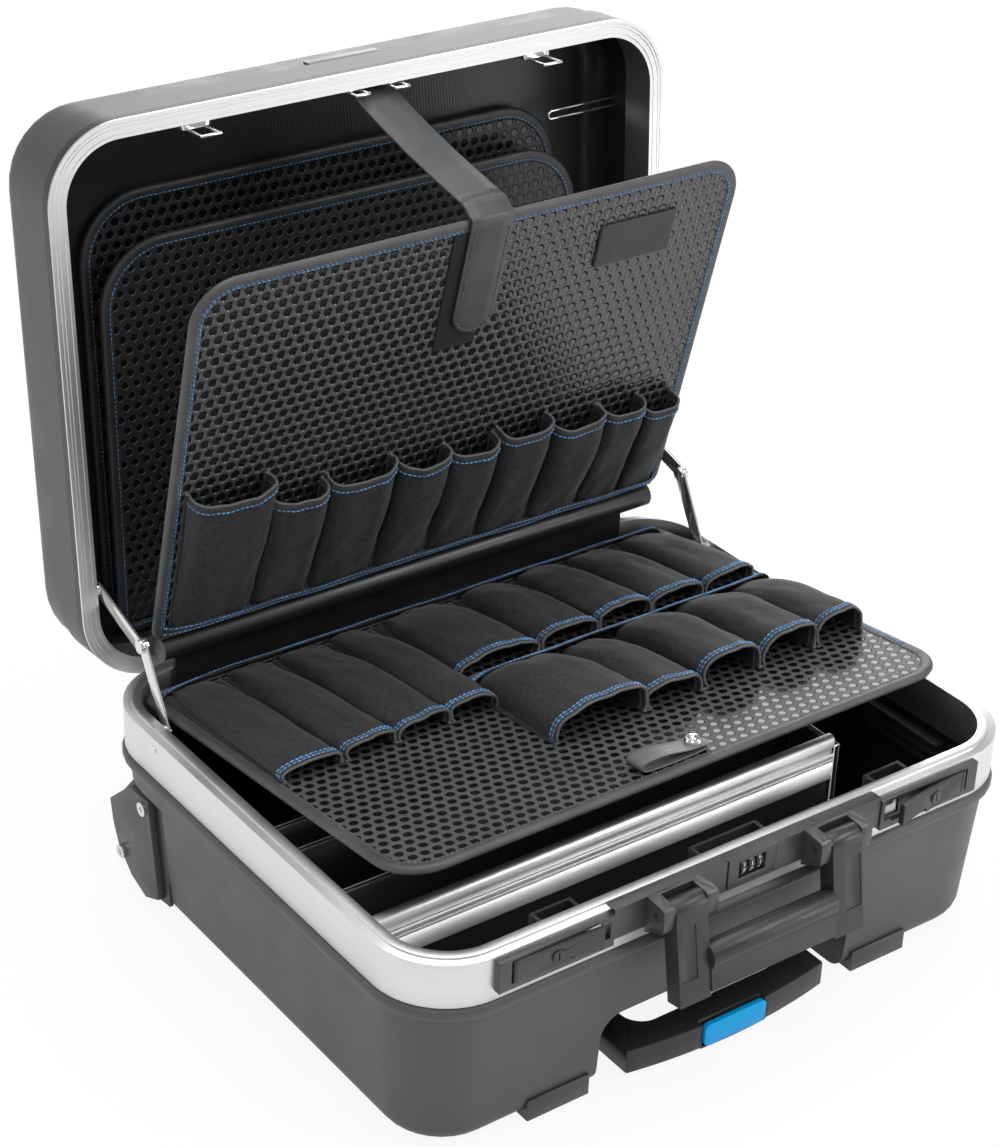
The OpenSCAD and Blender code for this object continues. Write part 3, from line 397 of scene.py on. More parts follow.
@dataclass(frozen=True)
class LidRim(BrushedMetal):
    """Aluminium on the rim and inside it, with the shell's plastic lapped over the outer face and a band of
    painted shade along the plastic's edge.

    Attributes:
        centre: The middle of the rim.
        inward: The direction from the rim's front edge into the lid.
        front: The front edge's place along that direction, in metres.
        lip: Width of the bare edge.
        lean: How far the bare metal's normals lean up towards the light.
        lap: Where the band of painted shade along the plastic's edge ends.
        outer_reach: Least distance from the middle at which a face counts as an outer one.
    """

    centre: Vector = field(kw_only=True)
    inward: Vector = field(kw_only=True)
    front: float = field(kw_only=True)
    lip: float = 0.0016
    lean: float = 0.27
    plastic: Colour = (0.060, 0.060, 0.063)
    # painted shade: a darker plastic colour for the band along the lip, standing in for the lip's shadow
    painted_lip_shade: Colour = (0.030, 0.030, 0.032)
    gap: Colour = (0.003, 0.003, 0.003)
    lap: float = 0.0085
    outer_reach: float = 0.06
    plastic_grain: float = 900.0
    plastic_clouds: float = 5.0
    plastic_roughness: float = 0.46
    relief: float = 0.00014

    def make(self) -> bpy.types.Material:
        """Builds the material.

        Returns:
            The material.
        """
        g = Graph(self.name)
        sideways = g.vector("MULTIPLY", g.own_normal(), (1.0, 0.0, 1.0))
        outward = g.vector("DOT_PRODUCT", g.vector("SUBTRACT", g.point, self.centre), sideways)
        depth = g.math("SUBTRACT", g.vector("DOT_PRODUCT", g.point, self.inward), self.front)
        outer = g.math("MULTIPLY", g.math("GREATER_THAN", outward, self.outer_reach),
                       g.math("GREATER_THAN", depth, self.lip))
        pebble = g.cells(self.plastic_grain)
        worn = g.plus(g.noise(self.plastic_clouds, 4.0), pebble, 0.2)
        grey = g.fade(worn, 0.3, 0.9, self.plastic, shade(self.plastic, 1.2))
        # paints the band of shade along the plastic's edge, up to the lap
        grey = g.fade(depth, self.lap, self.lap + 0.0004, self.painted_lip_shade, grey)
        grey = g.mix(g.span(depth, self.lip + 0.0008, self.lip + 0.0012, 1.0, 0.0), grey, self.gap)
        streak = self.streaks(g)
        metal = g.fade(streak, 0.3, 0.7, shade(self.colour, self.dull), self.colour)
        height = g.between(outer, g.math("MULTIPLY", streak, 0.1), pebble)
        rough = g.between(outer, self.roughness, self.plastic_roughness)
        bare = g.math("SUBTRACT", 1.0, outer)
        tilt = g.add("ShaderNodeCombineXYZ", {2: g.math("MULTIPLY", bare, self.lean)}).outputs[0]
        return g.surface(g.mix(outer, metal, grey), rough, g.leaning(g.bump(height, self.relief), tilt),
                         Metallic=bare)


@dataclass(frozen=True)
class ExtrudedProfile(BrushedMetal):
    """An extruded aluminium profile whose drawn faces lean towards the light."""

    lean: float = 0.6

    def make(self) -> bpy.types.Material:
        """Builds the material.

        Returns:
            The material.
        """
        g = Graph(self.name)
        streak = self.streaks(g)
        normal = g.leaning(g.bump(streak, self.depth, 0.35), (0.0, 0.0, self.lean))
        colour = g.fade(streak, 0.3, 0.7, shade(self.colour, self.dull), self.colour)
        return g.surface(colour, self.roughness, normal, Metallic=1.0)


@dataclass(frozen=True)
class FloorPaint(Finish):
    """A floor that the camera sees as nearly white, with a faint shadow on it."""

    name: str
    colour: Colour = (0.86, 0.86, 0.86)
    glow: float = 0.9
    mirrored: float = 0.6

    def make(self) -> bpy.types.Material:
        """Builds the material.

        Returns:
            The material.
        """
        g = Graph(self.name)
        path = g.add("ShaderNodeLightPath").outputs
        mirrored = g.math("MULTIPLY", path["Is Glossy Ray"], self.mirrored)
        seen = g.math("MULTIPLY", g.math("MAXIMUM", path["Is Camera Ray"], mirrored), self.glow)
        matt = g.add("ShaderNodeBsdfDiffuse", {0: (*self.colour, 1.0)}).outputs[0]
        pale = g.add("ShaderNodeEmission", {0: (1.0, 1.0, 1.0, 1.0), 1: 1.0}).outputs[0]
        mixed = g.add("ShaderNodeMixShader", {0: seen, 1: matt, 2: pale}).outputs[0]
        g.add("ShaderNodeOutputMaterial", {0: mixed})
        return g.material


@dataclass(frozen=True)
class PerforatedCloth(Finish):
    """Sheet with staggered rows of round holes over a glossy backing, in the board's own plane; the
    backing's colour is darkened as painted shade inside the holes.

    Attributes:
        pitch: Distance between two holes of a row, in metres.
        row: Distance between two rows.
        hole: Radius of a hole.
        roll: Width of the rolled edge outside that radius.
        shoulder: Where the rolled edge starts, as a share of the radius.
        bulge: How far the backing swells into the holes, as a share of the depth.
        lint: Specks a metre on the backing.
        rows_outside: Whole steps that keep the coordinates above zero.
    """

    name: str
    colour: Colour = (0.055, 0.055, 0.057)
    pitch: float = 0.0090
    row: float = 0.0084
    hole: float = 0.0031
    roll: float = 0.0004
    depth: float = 0.0011
    shoulder: float = 0.85
    bulge: float = 0.0
    # the backing's colour, darkened far below the sheet's as painted shade for the depth of the holes
    backing_and_shade: float = 0.003
    specular: float = 0.5
    grain: float = 1700.0
    clouds: float = 11.0
    lint: float = 500.0
    rows_outside: int = 40

    def make(self) -> bpy.types.Material:
        """Builds the material.

        Returns:
            The material.
        """
        g = Graph(self.name)
        distance = self.nearest_hole(g)
        rim = g.span(distance, self.hole - 0.0002, self.hole + 0.0004)
        wall = g.span(distance, self.hole * self.shoulder, self.hole + self.roll)
        grain = g.math("MULTIPLY", g.math("MULTIPLY", g.cells(self.grain), rim), 0.07)
        height = g.math("ADD", g.dome(wall), grain)
        if self.bulge:
            swell = g.math("SUBTRACT", 1.0, g.math("POWER", g.span(distance, 0.0, self.hole * 0.9), 2.0))
            height = g.plus(height, swell, self.bulge)
        sheet = g.fade(g.noise(self.clouds, 3.0), 0.3, 0.7, self.colour, shade(self.colour, 1.35))
        # the holes' floor: backing colour with specks, darker as painted shade in the holes
        backing_and_shade = (self.backing_and_shade,) * 3
        lining_and_shade = g.fade(g.noise(self.lint), 0.45, 0.7, backing_and_shade, shade(backing_and_shade, 1.0, 0.009))
        return g.surface(g.mix(rim, lining_and_shade, sheet), g.span(rim, 0.0, 1.0, 0.16, 0.50),
                         g.bump(height, self.depth, 0.75), Specular_IOR_Level=self.specular)

    def nearest_hole(self, g: Graph) -> Socket:
        """Distance in metres from each point to the nearest hole's centre.

        Args:
            g: The material's graph.

        Returns:
            The distance's socket.
        """
        x, y, _ = g.axes()
        found = []
        for shift_x, shift_y in ((0.0, 0.0), (self.pitch / 2, self.row)):
            parts = []
            for axis, shift, step in ((x, shift_x, self.pitch), (y, shift_y, 2 * self.row)):
                moved = g.math("ADD", axis, shift + self.rows_outside * step)
                centred = g.math("SUBTRACT", g.math("MODULO", moved, step), step / 2)
                parts.append(g.math("MULTIPLY", centred, centred))
            found.append(g.math("SQRT", g.math("ADD", *parts)))
        return g.math("MINIMUM", *found)


@dataclass(frozen=True)
class WovenCloth(Finish):
    """Tightly woven nylon with soft sheen and faint creasing."""

    name: str
    colour: Colour = (0.010, 0.010, 0.011)
    contrast: float = 3.2
    thread: float = 0.00075
    creases: float = 95.0
    fading: float = 420.0
    relief: float = 0.0006

    def make(self) -> bpy.types.Material:
        """Builds the material.

        Returns:
            The material.
        """
        g = Graph(self.name)
        x, y, z = g.axes()
        warp, weft = (g.math("SINE", g.math("MULTIPLY", axis, 2 * math.pi / self.thread))
                      for axis in (x, g.math("ADD", y, z)))
        weave = g.math("MULTIPLY", warp, weft)
        height = g.plus(g.math("MULTIPLY", weave, 0.10), g.noise(self.creases, 4.0), 0.6)
        faded = g.plus(g.noise(self.fading, 3.0), weave, 0.12)
        colour = g.fade(faded, 0.35, 0.8, self.colour, shade(self.colour, self.contrast, 0.002))
        return g.surface(colour, 0.72, g.bump(height, self.relief), Specular_IOR_Level=0.35,
                         Sheen_Weight=0.15, Sheen_Roughness=0.4)


@dataclass(frozen=True)
class Leathercloth(Finish):
    """Smooth black leathercloth with a fine pebble grain."""

    name: str
    colour: Colour = (0.03, 0.03, 0.032)
    roughness: float = 0.42
    grain: float = 1400.0
    creases: float = 240.0
    clouds: float = 25.0
    relief: float = 0.00022

    def make(self) -> bpy.types.Material:
        """Builds the material.

        Returns:
            The material.
        """
        g = Graph(self.name)
        crease = g.noise(self.creases, 4.0)
        height = g.plus(g.math("MULTIPLY", g.cells(self.grain), 0.5), crease, 0.6)
        colour = g.fade(g.noise(self.clouds, 3.0), 0.3, 0.7, self.colour, shade(self.colour, 1.5, 0.003))
        rough = g.span(crease, 0.3, 0.7, self.roughness - 0.06, self.roughness + 0.08)
        return g.surface(colour, rough, g.bump(height, self.relief), Specular_IOR_Level=0.5)


@dataclass(frozen=True)
class Thread(Finish):
    """Sewing thread with a twist that shows as fine slanted lines."""

    name: str
    colour: Colour
    twist: float = 2600.0
    clouds: float = 160.0
    relief: float = 0.0001

    def make(self) -> bpy.types.Material:
        """Builds the material.

        Returns:
            The material.
        """
        g = Graph(self.name)
        deep, pale = shade(self.colour, 0.7), shade(self.colour, 1.5, 0.03)
        colour = g.fade(g.noise(self.clouds), 0.35, 0.65, deep, pale)
        return g.surface(colour, 0.5, g.bump(g.noise(self.twist), self.relief), Sheen_Weight=0.2)


SHELL_MIDDLE = (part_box("base_frame")[0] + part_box("base_frame")[1]) / 2
LID_MIDDLE = (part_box("lid_frame")[0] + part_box("lid_frame")[1]) / 2
LID_INWARD = Vector((0, math.sin(LID_OPEN), math.cos(LID_OPEN)))
LID_FRONT = min(vertex.co.dot(LID_INWARD) for vertex in NODES["lid_frame"].data.vertices)
BASE_PLASTIC = ShellPlastic("base_shell_plastic", Vector((0, SHELL_MIDDLE.y, 0.08)))
LID_PLASTIC = ShellPlastic("lid_shell_plastic", Vector((0, LID_MIDDLE.y, LID_MIDDLE.z)))
COVER_PLASTIC = MouldedPlastic("wheel_cover_plastic", (0.055, 0.055, 0.058), 0.42, 900.0)
BLACK_PLASTIC = MouldedPlastic("black_plastic", (0.012, 0.012, 0.0125), 0.38)
HARDWARE_PLASTIC = MouldedPlastic("hardware_plastic", (0.030, 0.030, 0.032), 0.31, 1000.0, 0.00018,
                                  specular=0.65)
GRIP_PLASTIC = MouldedPlastic("grip_plastic", (0.018, 0.018, 0.019), 0.34, 1000.0, 0.00018)
BAR_PLASTIC = MouldedPlastic("trolley_bar_plastic", (0.021, 0.021, 0.022), 0.32, 1300.0, 0.00006)
LEVER_PLASTIC = MouldedPlastic("lever_plastic", (0.022, 0.022, 0.023), 0.33, 1300.0)
RAIL_PLASTIC = MouldedPlastic("rail_plastic", (0.005, 0.005, 0.005), 0.38, 1500.0, 0.00002, specular=0.8)
BUTTON_PLASTIC = MouldedPlastic("button_plastic", (0.0, 0.36, 0.78), 0.32, 1300.0, 0.00004, 0.04, 0.25)
CATCH_PLASTIC = MouldedPlastic("catch_box_plastic", (0.004, 0.004, 0.004), 0.5)
TYRE_RUBBER = MouldedPlastic("tyre_rubber", (0.014, 0.014, 0.014), 0.62, 700.0, 0.0002)
DIGIT_PAINT = MouldedPlastic("digit_paint", (0.75, 0.75, 0.75), 0.3, 2000.0, 0.00002)
BASE_ALUMINIUM = BrushedMetal("base_frame_aluminium", (0.73, 0.735, 0.74), 0.36, (5.0, 5.0, 700.0),
                              0.00001, 0.93)
LID_ALUMINIUM = LidRim("lid_frame_aluminium", (0.80, 0.805, 0.81), 0.34, (5.0, 700.0, 5.0), 0.00001, 0.93,
                       centre=LID_MIDDLE, inward=LID_INWARD, front=LID_FRONT)
PROFILE_ALUMINIUM = ExtrudedProfile("profile_aluminium", (0.82, 0.825, 0.83), 0.38, (9.0, 1500.0, 1500.0),
                                    0.00002, 0.95)
TUBE_ALUMINIUM = BrushedMetal("tube_aluminium", (0.7, 0.71, 0.72), 0.3, (2600.0, 9.0, 2600.0))
BRIGHT_STEEL = BrushedMetal("bright_steel", (0.82, 0.81, 0.79), 0.2, (500.0, 500.0, 500.0), 0.00002)
BOARD_CLOTH = PerforatedCloth("perforated_cloth")
FRONT_CLOTH = PerforatedCloth("front_perforated_cloth", (0.030, 0.030, 0.032), hole=0.0034, roll=0.0009,
                              depth=0.0018, shoulder=0.8, bulge=0.10, backing_and_shade=0.006, specular=1.0)
# painted shade: darker copy of the board cloth for the boards deep inside the lid
SHADED_REAR_CLOTH = PerforatedCloth("rear_perforated_cloth", (0.012, 0.012, 0.013))
BINDING = Leathercloth("binding_leathercloth", (0.045, 0.045, 0.047), 0.46)
# painted shade: darker copy of the binding for the boards deep inside the lid
SHADED_REAR_BINDING = Leathercloth("rear_binding_leathercloth", (0.016, 0.016, 0.017), 0.5)
STRAP_LEATHER = Leathercloth("strap_leathercloth", (0.040, 0.040, 0.042), 0.38, 900.0)
LOOP_LEATHER = Leathercloth("loop_leathercloth", (0.10, 0.10, 0.103), 0.40, 1100.0)
PATCH_LEATHER = Leathercloth("patch_leathercloth", (0.010, 0.010, 0.011), 0.4)
POCKET_CLOTH = WovenCloth("pocket_nylon")
HEM_CLOTH = WovenCloth("hem_nylon", (0.024, 0.024, 0.026), 1.4)
# partly painted shadow: near-black nylon for the hook tape strip, laid where the strap's shadow falls on
# the board
HOOK_TAPE_AND_SHADOW_CLOTH = WovenCloth("hook_strip_nylon", (0.002, 0.002, 0.002), 1.3)
# painted highlight: pale nylon for the bead that lights up each pocket's mouth edge
MOUTH_HIGHLIGHT_CLOTH = WovenCloth("mouth_highlight_nylon", (0.10, 0.10, 0.105), 1.2)
BLUE_THREAD = Thread("blue_thread", (0.045, 0.19, 0.40))
BLACK_THREAD = Thread("black_thread", (0.05, 0.05, 0.052))


# ---------------------------------------------------------------- mesh tools


def new_piece(name: str, points: Sequence[Vector], faces: Sequence[Sequence[int]], finish: Finish,
              smooth: bool = True) -> bpy.types.Object:
    """Makes an object from points and faces.

    Args:
        name: The piece's name.
        points: Its vertices.
        faces: Its faces, as vertex numbers.
        finish: The finish that it gets.
        smooth: Whether it is shaded smooth.

    Returns:
        The new object, linked to the scene.
    """
    mesh = bpy.data.meshes.new(name)
    mesh.from_pydata([tuple(p) for p in points], [], [tuple(f) for f in faces])
    mesh.polygons.foreach_set("use_smooth", [smooth] * len(mesh.polygons))
    mesh.validate()
    piece = bpy.data.objects.new(name, mesh)
    bpy.context.scene.collection.objects.link(piece)
    return finish.on(piece)


def fix(piece: bpy.types.Object, body: str, slot: Slot, *nodes: str) -> bpy.types.Object:
    """Rides a piece on its body and names what it stands for.

    Args:
        piece: The piece.
        body: The body that carries it.
        slot: The record's material slot that it belongs to; not used.
        *nodes: The CAD nodes that it replaces.

    Returns:
        The same piece.
    """
    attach(piece, body)
    if nodes:
        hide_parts(*nodes)
    LOG.info("%s rides on %s%s", piece.name, body, f" for {', '.join(nodes)}" if nodes else "")
    return piece


def modifier(piece: bpy.types.Object, kind: str, **settings: object) -> bpy.types.Modifier:
    """Adds a modifier to a piece and sets its options.

    Args:
        piece: The piece.
        kind: Blender's name of the modifier type.
        **settings: The options.

    Returns:
        The new modifier.
    """
    added = piece.modifiers.new(kind.title(), kind)
    for key, value in settings.items():
        setattr(added, key, value)
    return added


def grid_faces(rows: int, columns: int, ring: bool = False) -> list[tuple[int, int, int, int]]:
    """Faces of a grid of points that is stored row by row.

    Args:
        rows: How many rows of points there are.
        columns: How many points are in a row.
        ring: Whether each row closes on itself.

    Returns:
        One four-sided face for each cell.
    """
    faces = []
    for row in range(rows - 1):
        for column in range(columns if ring else columns - 1):
            right = (column + 1) % columns
            here, above = row * columns, (row + 1) * columns
            faces.append((here + column, here + right, above + right, above + column))
    return faces


def loft(name: str, rings: Sequence[Sequence[Vector]], finish: Finish,
         closed: bool = False) -> bpy.types.Object:
    """A skin over a run of closed rings, with its ends filled.

    Args:
        name: The piece's name.
        rings: Closed outlines with the same number of points.
        finish: The finish that it gets.
        closed: Whether the last ring joins the first, so that there are no ends.

    Returns:
        The new object.
    """
    count = len(rings[0])
    points = [p for ring in rings for p in ring]
    faces = grid_faces(len(rings), count, ring=True)
    last = (len(rings) - 1) * count
    if closed:
        for column in range(count):
            right = (column + 1) % count
            faces.append((last + column, last + right, right, column))
    else:
        faces.append(tuple(reversed(range(count))))
        faces.append(tuple(range(last, last + count)))
    return new_piece(name, points, faces, finish)


def arc(centre: Vector, radius: float, start: float, end: float, steps: int) -> list[Vector]:
    """Points along an arc in a plane of constant height.

    Args:
        centre: The arc's centre.
        radius: Its radius.
        start: Where it starts, in degrees.
        end: Where it ends, in degrees.
        steps: How many steps it has.

    Returns:
        One point more than there are steps.
    """
    found = []
    for step in range(steps + 1):
        angle = math.radians(start + (end - start) * step / steps)
        found.append(centre + Vector((math.cos(angle), math.sin(angle), 0)) * radius)
    return found


def quarter(share: float) -> float:
    """A quarter circle's rise from 0 to 1 as a share goes from 0 to 1."""
    return math.sqrt(1 - (1 - min(max(share, 0.0), 1.0)) ** 2)


def resample(path: Sequence[tuple[Vector, Vector]], pitch: float) -> list[tuple[Vector, Vector, Vector]]:
    """Evenly spaced places along a path.

    Args:
        path: Pairs of a point and the direction away from the cloth there.
        pitch: The distance between two places.

    Returns:
        The place, the direction along the path and the direction away from the cloth.
    """
    found, carried = [], pitch / 2
    for (first, up), (second, next_up) in zip(path, path[1:]):
        length = (second - first).length
        if length < 1e-9:
            continue
        direction = (second - first) / length
        while carried < length:
            away = up.lerp(next_up, carried / length).normalized()
            found.append((first + direction * carried, direction, away))
            carried += pitch
        carried -= length
    return found


def smooth_path(path: Sequence[Vector], steps: int) -> list[Vector]:
    """A smooth curve through some points.

    Args:
        path: The points.
        steps: How many steps there are between two of them.

    Returns:
        The curve's points, with the given ones among them.
    """
    found = []
    for index in range(len(path) - 1):
        here, there = path[index], path[index + 1]
        before, after = path[max(index - 1, 0)], path[min(index + 2, len(path) - 1)]
        for step in range(steps):
            t = step / steps
            bend = 2 * before - 5 * here + 4 * there - after
            swing = 3 * here - before - 3 * there + after
            found.append(0.5 * (2 * here + (there - before) * t + bend * t * t + swing * t ** 3))
    return found + [path[-1]]


@dataclass(frozen=True)
class Seam:
    """A row of lock stitches."""

    pitch: float = 0.0036
    length: float = 0.0028
    width: float = 0.0013
    rise: float = 0.0006
    sunk: float = 0.0002
    sections: tuple[tuple[float, float], ...] = ((-0.5, 0.35), (-0.25, 1.0), (0.25, 1.0), (0.5, 0.35))

    def sew(self, name: str, paths: Sequence[Sequence[tuple[Vector, Vector]]],
            finish: Finish) -> bpy.types.Object:
        """Makes all the stitches along some paths as one piece.

        Args:
            name: The piece's name.
            paths: The paths, each a list of points on the cloth with the direction away from it.
            finish: The thread.

        Returns:
            The new object.
        """
        points, faces = [], []
        for path in paths:
            for place, along, away in resample(path, self.pitch):
                side = along.cross(away).normalized()
                foot = away * self.sunk
                base = len(points)
                for step, size in self.sections:
                    middle = place + along * (self.length * step)
                    top = middle + away * (self.rise * size)
                    half = side * (self.width / 2 * size)
                    points += [middle - half - foot, top, middle + half - foot]
                faces += [tuple(base + i for i in face) for face in grid_faces(len(self.sections), 3)]
        return new_piece(name, points, faces, finish)


SEAM = Seam()


@dataclass(frozen=True)
class Strap:
    """The cross-section of a flat strap with rounded edges and a sewn groove along each."""

    width: float
    thick: float
    finish: Finish
    rounded: float = 0.0
    stations: tuple[float, ...] = (-0.5, -0.47, -0.4, -0.36, -0.2, 0.0, 0.2, 0.36, 0.4, 0.47, 0.5)
    groove_at: float = 0.4
    groove_depth: float = 0.25
    edge_loss: float = 0.55

    def section(self, place: Vector, side: Vector, away: Vector, wide: float) -> list[Vector]:
        """The strap's outline at one place of its path.

        Args:
            place: The middle of the strap.
            side: The direction of its width.
            away: The direction of its thickness.
            wide: Its width there.

        Returns:
            The outline's points.
        """
        outline = []
        for face in (1, -1):
            for step in self.stations:
                edge = 1 - (abs(step) * 2) ** 8 * self.edge_loss
                groove = self.groove_depth if abs(abs(step) - self.groove_at) < 0.01 else 0.0
                lift = self.thick / 2 * (edge - groove)
                outline.append(place + side * (wide * step * face) + away * (lift * face))
        return outline

    def lay(self, name: str, path: Sequence[Vector], across: Vector) -> bpy.types.Object:
        """Makes a strap that follows a path, with a rounded end at its start where it has one.

        Args:
            name: The piece's name.
            path: Points along the middle of the strap's thickness.
            across: The direction of its width.

        Returns:
            The new object.
        """
        side = across.normalized()
        rings = []
        for index, place in enumerate(path):
            taper = max(quarter((place - path[0]).length / self.rounded), 0.05) if self.rounded else 1.0
            ahead = path[min(index + 1, len(path) - 1)] - path[max(index - 1, 0)]
            rings.append(self.section(place, side, side.cross(ahead).normalized(), self.width * taper))
        return loft(name, rings, self.finish)


def polish(node: str, finish: Finish, bevel: float = 0.0, edge: Finish | None = None) -> None:
    """Gives a CAD node its finish, smooth curved faces and, where asked, softened edges.

    Args:
        node: The node's name.
        finish: The finish that it gets.
        bevel: Radius of the softened edges, or 0 for none.
        edge: The finish of the softened edges, where it is another one.
    """
    piece = NODES[node]
    finish.on(piece)
    if "custom_normal" in piece.data.attributes:
        piece.data.attributes.remove(piece.data.attributes["custom_normal"])
    piece.data.polygons.foreach_set("use_smooth", [True] * len(piece.data.polygons))
    modifier(piece, "WELD", merge_threshold=WELD_GAP)
    if edge:
        piece.data.materials.append(edge.material)
    if bevel:
        modifier(piece, "BEVEL", width=bevel, segments=2, limit_method="ANGLE", material=1 if edge else -1,
                 angle_limit=CREASE_ANGLE, use_clamp_overlap=True)
    modifier(piece, "EDGE_SPLIT", split_angle=CREASE_ANGLE, use_edge_sharp=False)
    LOG.info("%s gets %s", node, finish.name)


# ---------------------------------------------------------------- tool boards


@dataclass
class ToolBoard:
    """A stiff board in perforated cloth, bound round its edge and stitched."""

    name: str
    body: str
    width: float
    length: float
    pose: Matrix
    panel_nodes: tuple[str, ...]
    binding_nodes: tuple[str, ...] = ()
    corner: float = 0.032
    heel: float = 0.012
    thick: float = 0.0040
    binding: float = 0.009
    binding_rise: float = 0.0028
    ripple: float = 0.00012
    seam_rise: float = 0.0024
    stitched: tuple[Side, ...] = (Side.UPPER, Side.UNDER)
    seams: tuple[float, ...] = (0.0014, 0.0032)
    thread: Finish = field(default_factory=lambda: BLUE_THREAD)
    cloth: Finish = field(default_factory=lambda: BOARD_CLOTH)
    edge: Finish = field(default_factory=lambda: BINDING)

    def carry(self, piece: bpy.types.Object, slot: Slot = Slot.BOARD, *nodes: str) -> bpy.types.Object:
        """Moves a piece from the board's own frame to its place and rides it on the board's body.

        Args:
            piece: The piece.
            slot: The record's material slot that it belongs to.
            *nodes: The CAD nodes that it replaces.

        Returns:
            The same piece.
        """
        piece.matrix_world = self.pose
        return fix(piece, self.body, slot, *nodes)

    def outline(self, inset: float, steps: int = 12) -> list[Vector]:
        """The board's outline in its own plane, from its hinge line towards its front edge.

        Args:
            inset: How far inside the edge it runs.
            steps: Steps in each rounded corner.

        Returns:
            The outline's points, anticlockwise.
        """
        half = self.width / 2
        found = []
        for x, y, radius, start in (
            (half, 0.0, self.heel, 0), (-half, 0.0, self.heel, 90),
            (-half, -self.length, self.corner, 180), (half, -self.length, self.corner, 270),
        ):
            centre = Vector((x - math.copysign(radius, x), y - radius if y == 0 else y + radius, 0))
            found += arc(centre, max(radius - inset, 0.001), start, start + 90, steps)
        return found

    def build(self) -> None:
        """Makes the board's panel, binding and stitching."""
        self.build_panel()
        self.build_binding()
        self.build_stitches()

    def build_panel(self) -> None:
        """Makes the flat, perforated panel, which reaches under the binding."""
        outline = self.outline(self.binding - 0.0015)
        rings = [[p + Vector((0, 0, z)) for p in outline] for z in (-self.thick / 2, self.thick / 2)]
        panel = loft(f"{self.name}_panel", rings, self.cloth)
        modifier(panel, "EDGE_SPLIT", split_angle=math.radians(40))
        self.carry(panel, Slot.BOARD, *self.panel_nodes)

    def build_binding(self) -> None:
        """Makes the rolled binding round the edge."""
        profile = [(0.0002, 0.0), (0.0005, 0.45), (0.0013, 0.8), (0.0028, 1.0), (0.0052, 0.98),
                   (0.0078, 0.86), (self.binding, 0.72)]
        section = profile + [(inset, -z) for inset, z in reversed(profile[1:])]
        loops = [self.outline(inset) for inset, _ in section]
        rings = []
        for index, column in enumerate(zip(*loops)):
            wave = self.ripple * math.sin(index * 2.4)
            rings.append([p + Vector((0, 0, z * self.binding_rise + wave))
                          for p, (_, z) in zip(column, section)])
        binding = loft(f"{self.name}_binding", rings, self.edge, closed=True)
        self.carry(binding, Slot.BOARD, *self.binding_nodes)

    def build_stitches(self) -> None:
        """Makes the stitching along the binding's inner edge."""
        for side in self.stitched:
            away = Vector((0, 0, side.value))
            paths = []
            for inset in self.seams:
                loop = [(p + away * self.seam_rise, away) for p in self.outline(self.binding - inset)]
                paths.append(loop + loop[:1])
            self.carry(SEAM.sew(f"{self.name}_stitches_{side.name.lower()}", paths, self.thread))


@dataclass
class Band:
    """A strip of cloth sewn over the closed ends of a row of pockets.

    Attributes:
        ends: Its left and right ends along the board.
        back: Place of its rear edge along the board's Y, which is 0 at the hinge line.
        front: Place of its front edge, likewise.
        lift: How high its front edge stands.
        curl: How far its left end curls forwards.
        floor: Height of the board's face.
        wander: How much its edges stray.
        swell: How much its height varies.
        left_turn: How quickly it reaches its full height from the left end.
        right_turn: How quickly it does from the right end.
    """

    name: str
    board: ToolBoard
    side: Side
    ends: tuple[float, float]
    back: float
    front: float
    lift: float
    seams: tuple[float, ...] = (0.12,)
    curl: float = 0.0
    floor: float = 0.0026
    wander: float = 0.0009
    swell: float = 0.0006
    left_turn: float = 9.0
    right_turn: float = 30.0
    steps: int = 90
    seam_steps: int = 80
    seam_lift: float = 0.0008

    def place(self, u: float, v: float, lift: float = 0.0) -> Vector:
        """A point on the strip in the board's own frame.

        Args:
            u: From 0 at its left end to 1 at its right one.
            v: From 0 at its rear edge to 1 at its front one.
            lift: Extra distance away from the board.

        Returns:
            The point.
        """
        x = self.ends[0] + (self.ends[1] - self.ends[0]) * u
        wave = noise.noise(Vector((x * 28, v * 2, self.lift * 900)))
        left = quarter(u * self.left_turn)
        full = min(left, quarter((1 - u) * self.right_turn))
        y = self.back + (self.front - self.back) * v + wave * self.wander - self.curl * (1 - left)
        height = self.floor + (self.lift * v ** 0.75 + wave * self.swell) * full + lift
        return Vector((x, y, self.side.value * height))

    def build(self) -> list[bpy.types.Object]:
        """Makes the strip and its stitches.

        Returns:
            Both pieces.
        """
        section = [(0.0, 0.0), (0.15, 0.0005), (0.5, 0.0007), (0.9, 0.0007), (1.0, 0.0003), (1.01, -0.0006),
                   (0.9, -0.0009), (0.5, -0.0007), (0.0, -0.0006)]
        points = [self.place(c / self.steps, v, lift) for c in range(self.steps + 1) for v, lift in section]
        strip = new_piece(self.name, points, grid_faces(self.steps + 1, len(section), ring=True), HEM_CLOTH)
        away = Vector((0, -0.3, self.side.value))
        paths = [[(self.place(c / self.seam_steps, 1 - share, self.seam_lift), away)
                  for c in range(self.seam_steps + 1)] for share in self.seams]
        sewn = SEAM.sew(f"{self.name}_stitches", paths, BLUE_THREAD)
        return [self.board.carry(piece, Slot.POCKET) for piece in (strip, sewn)]


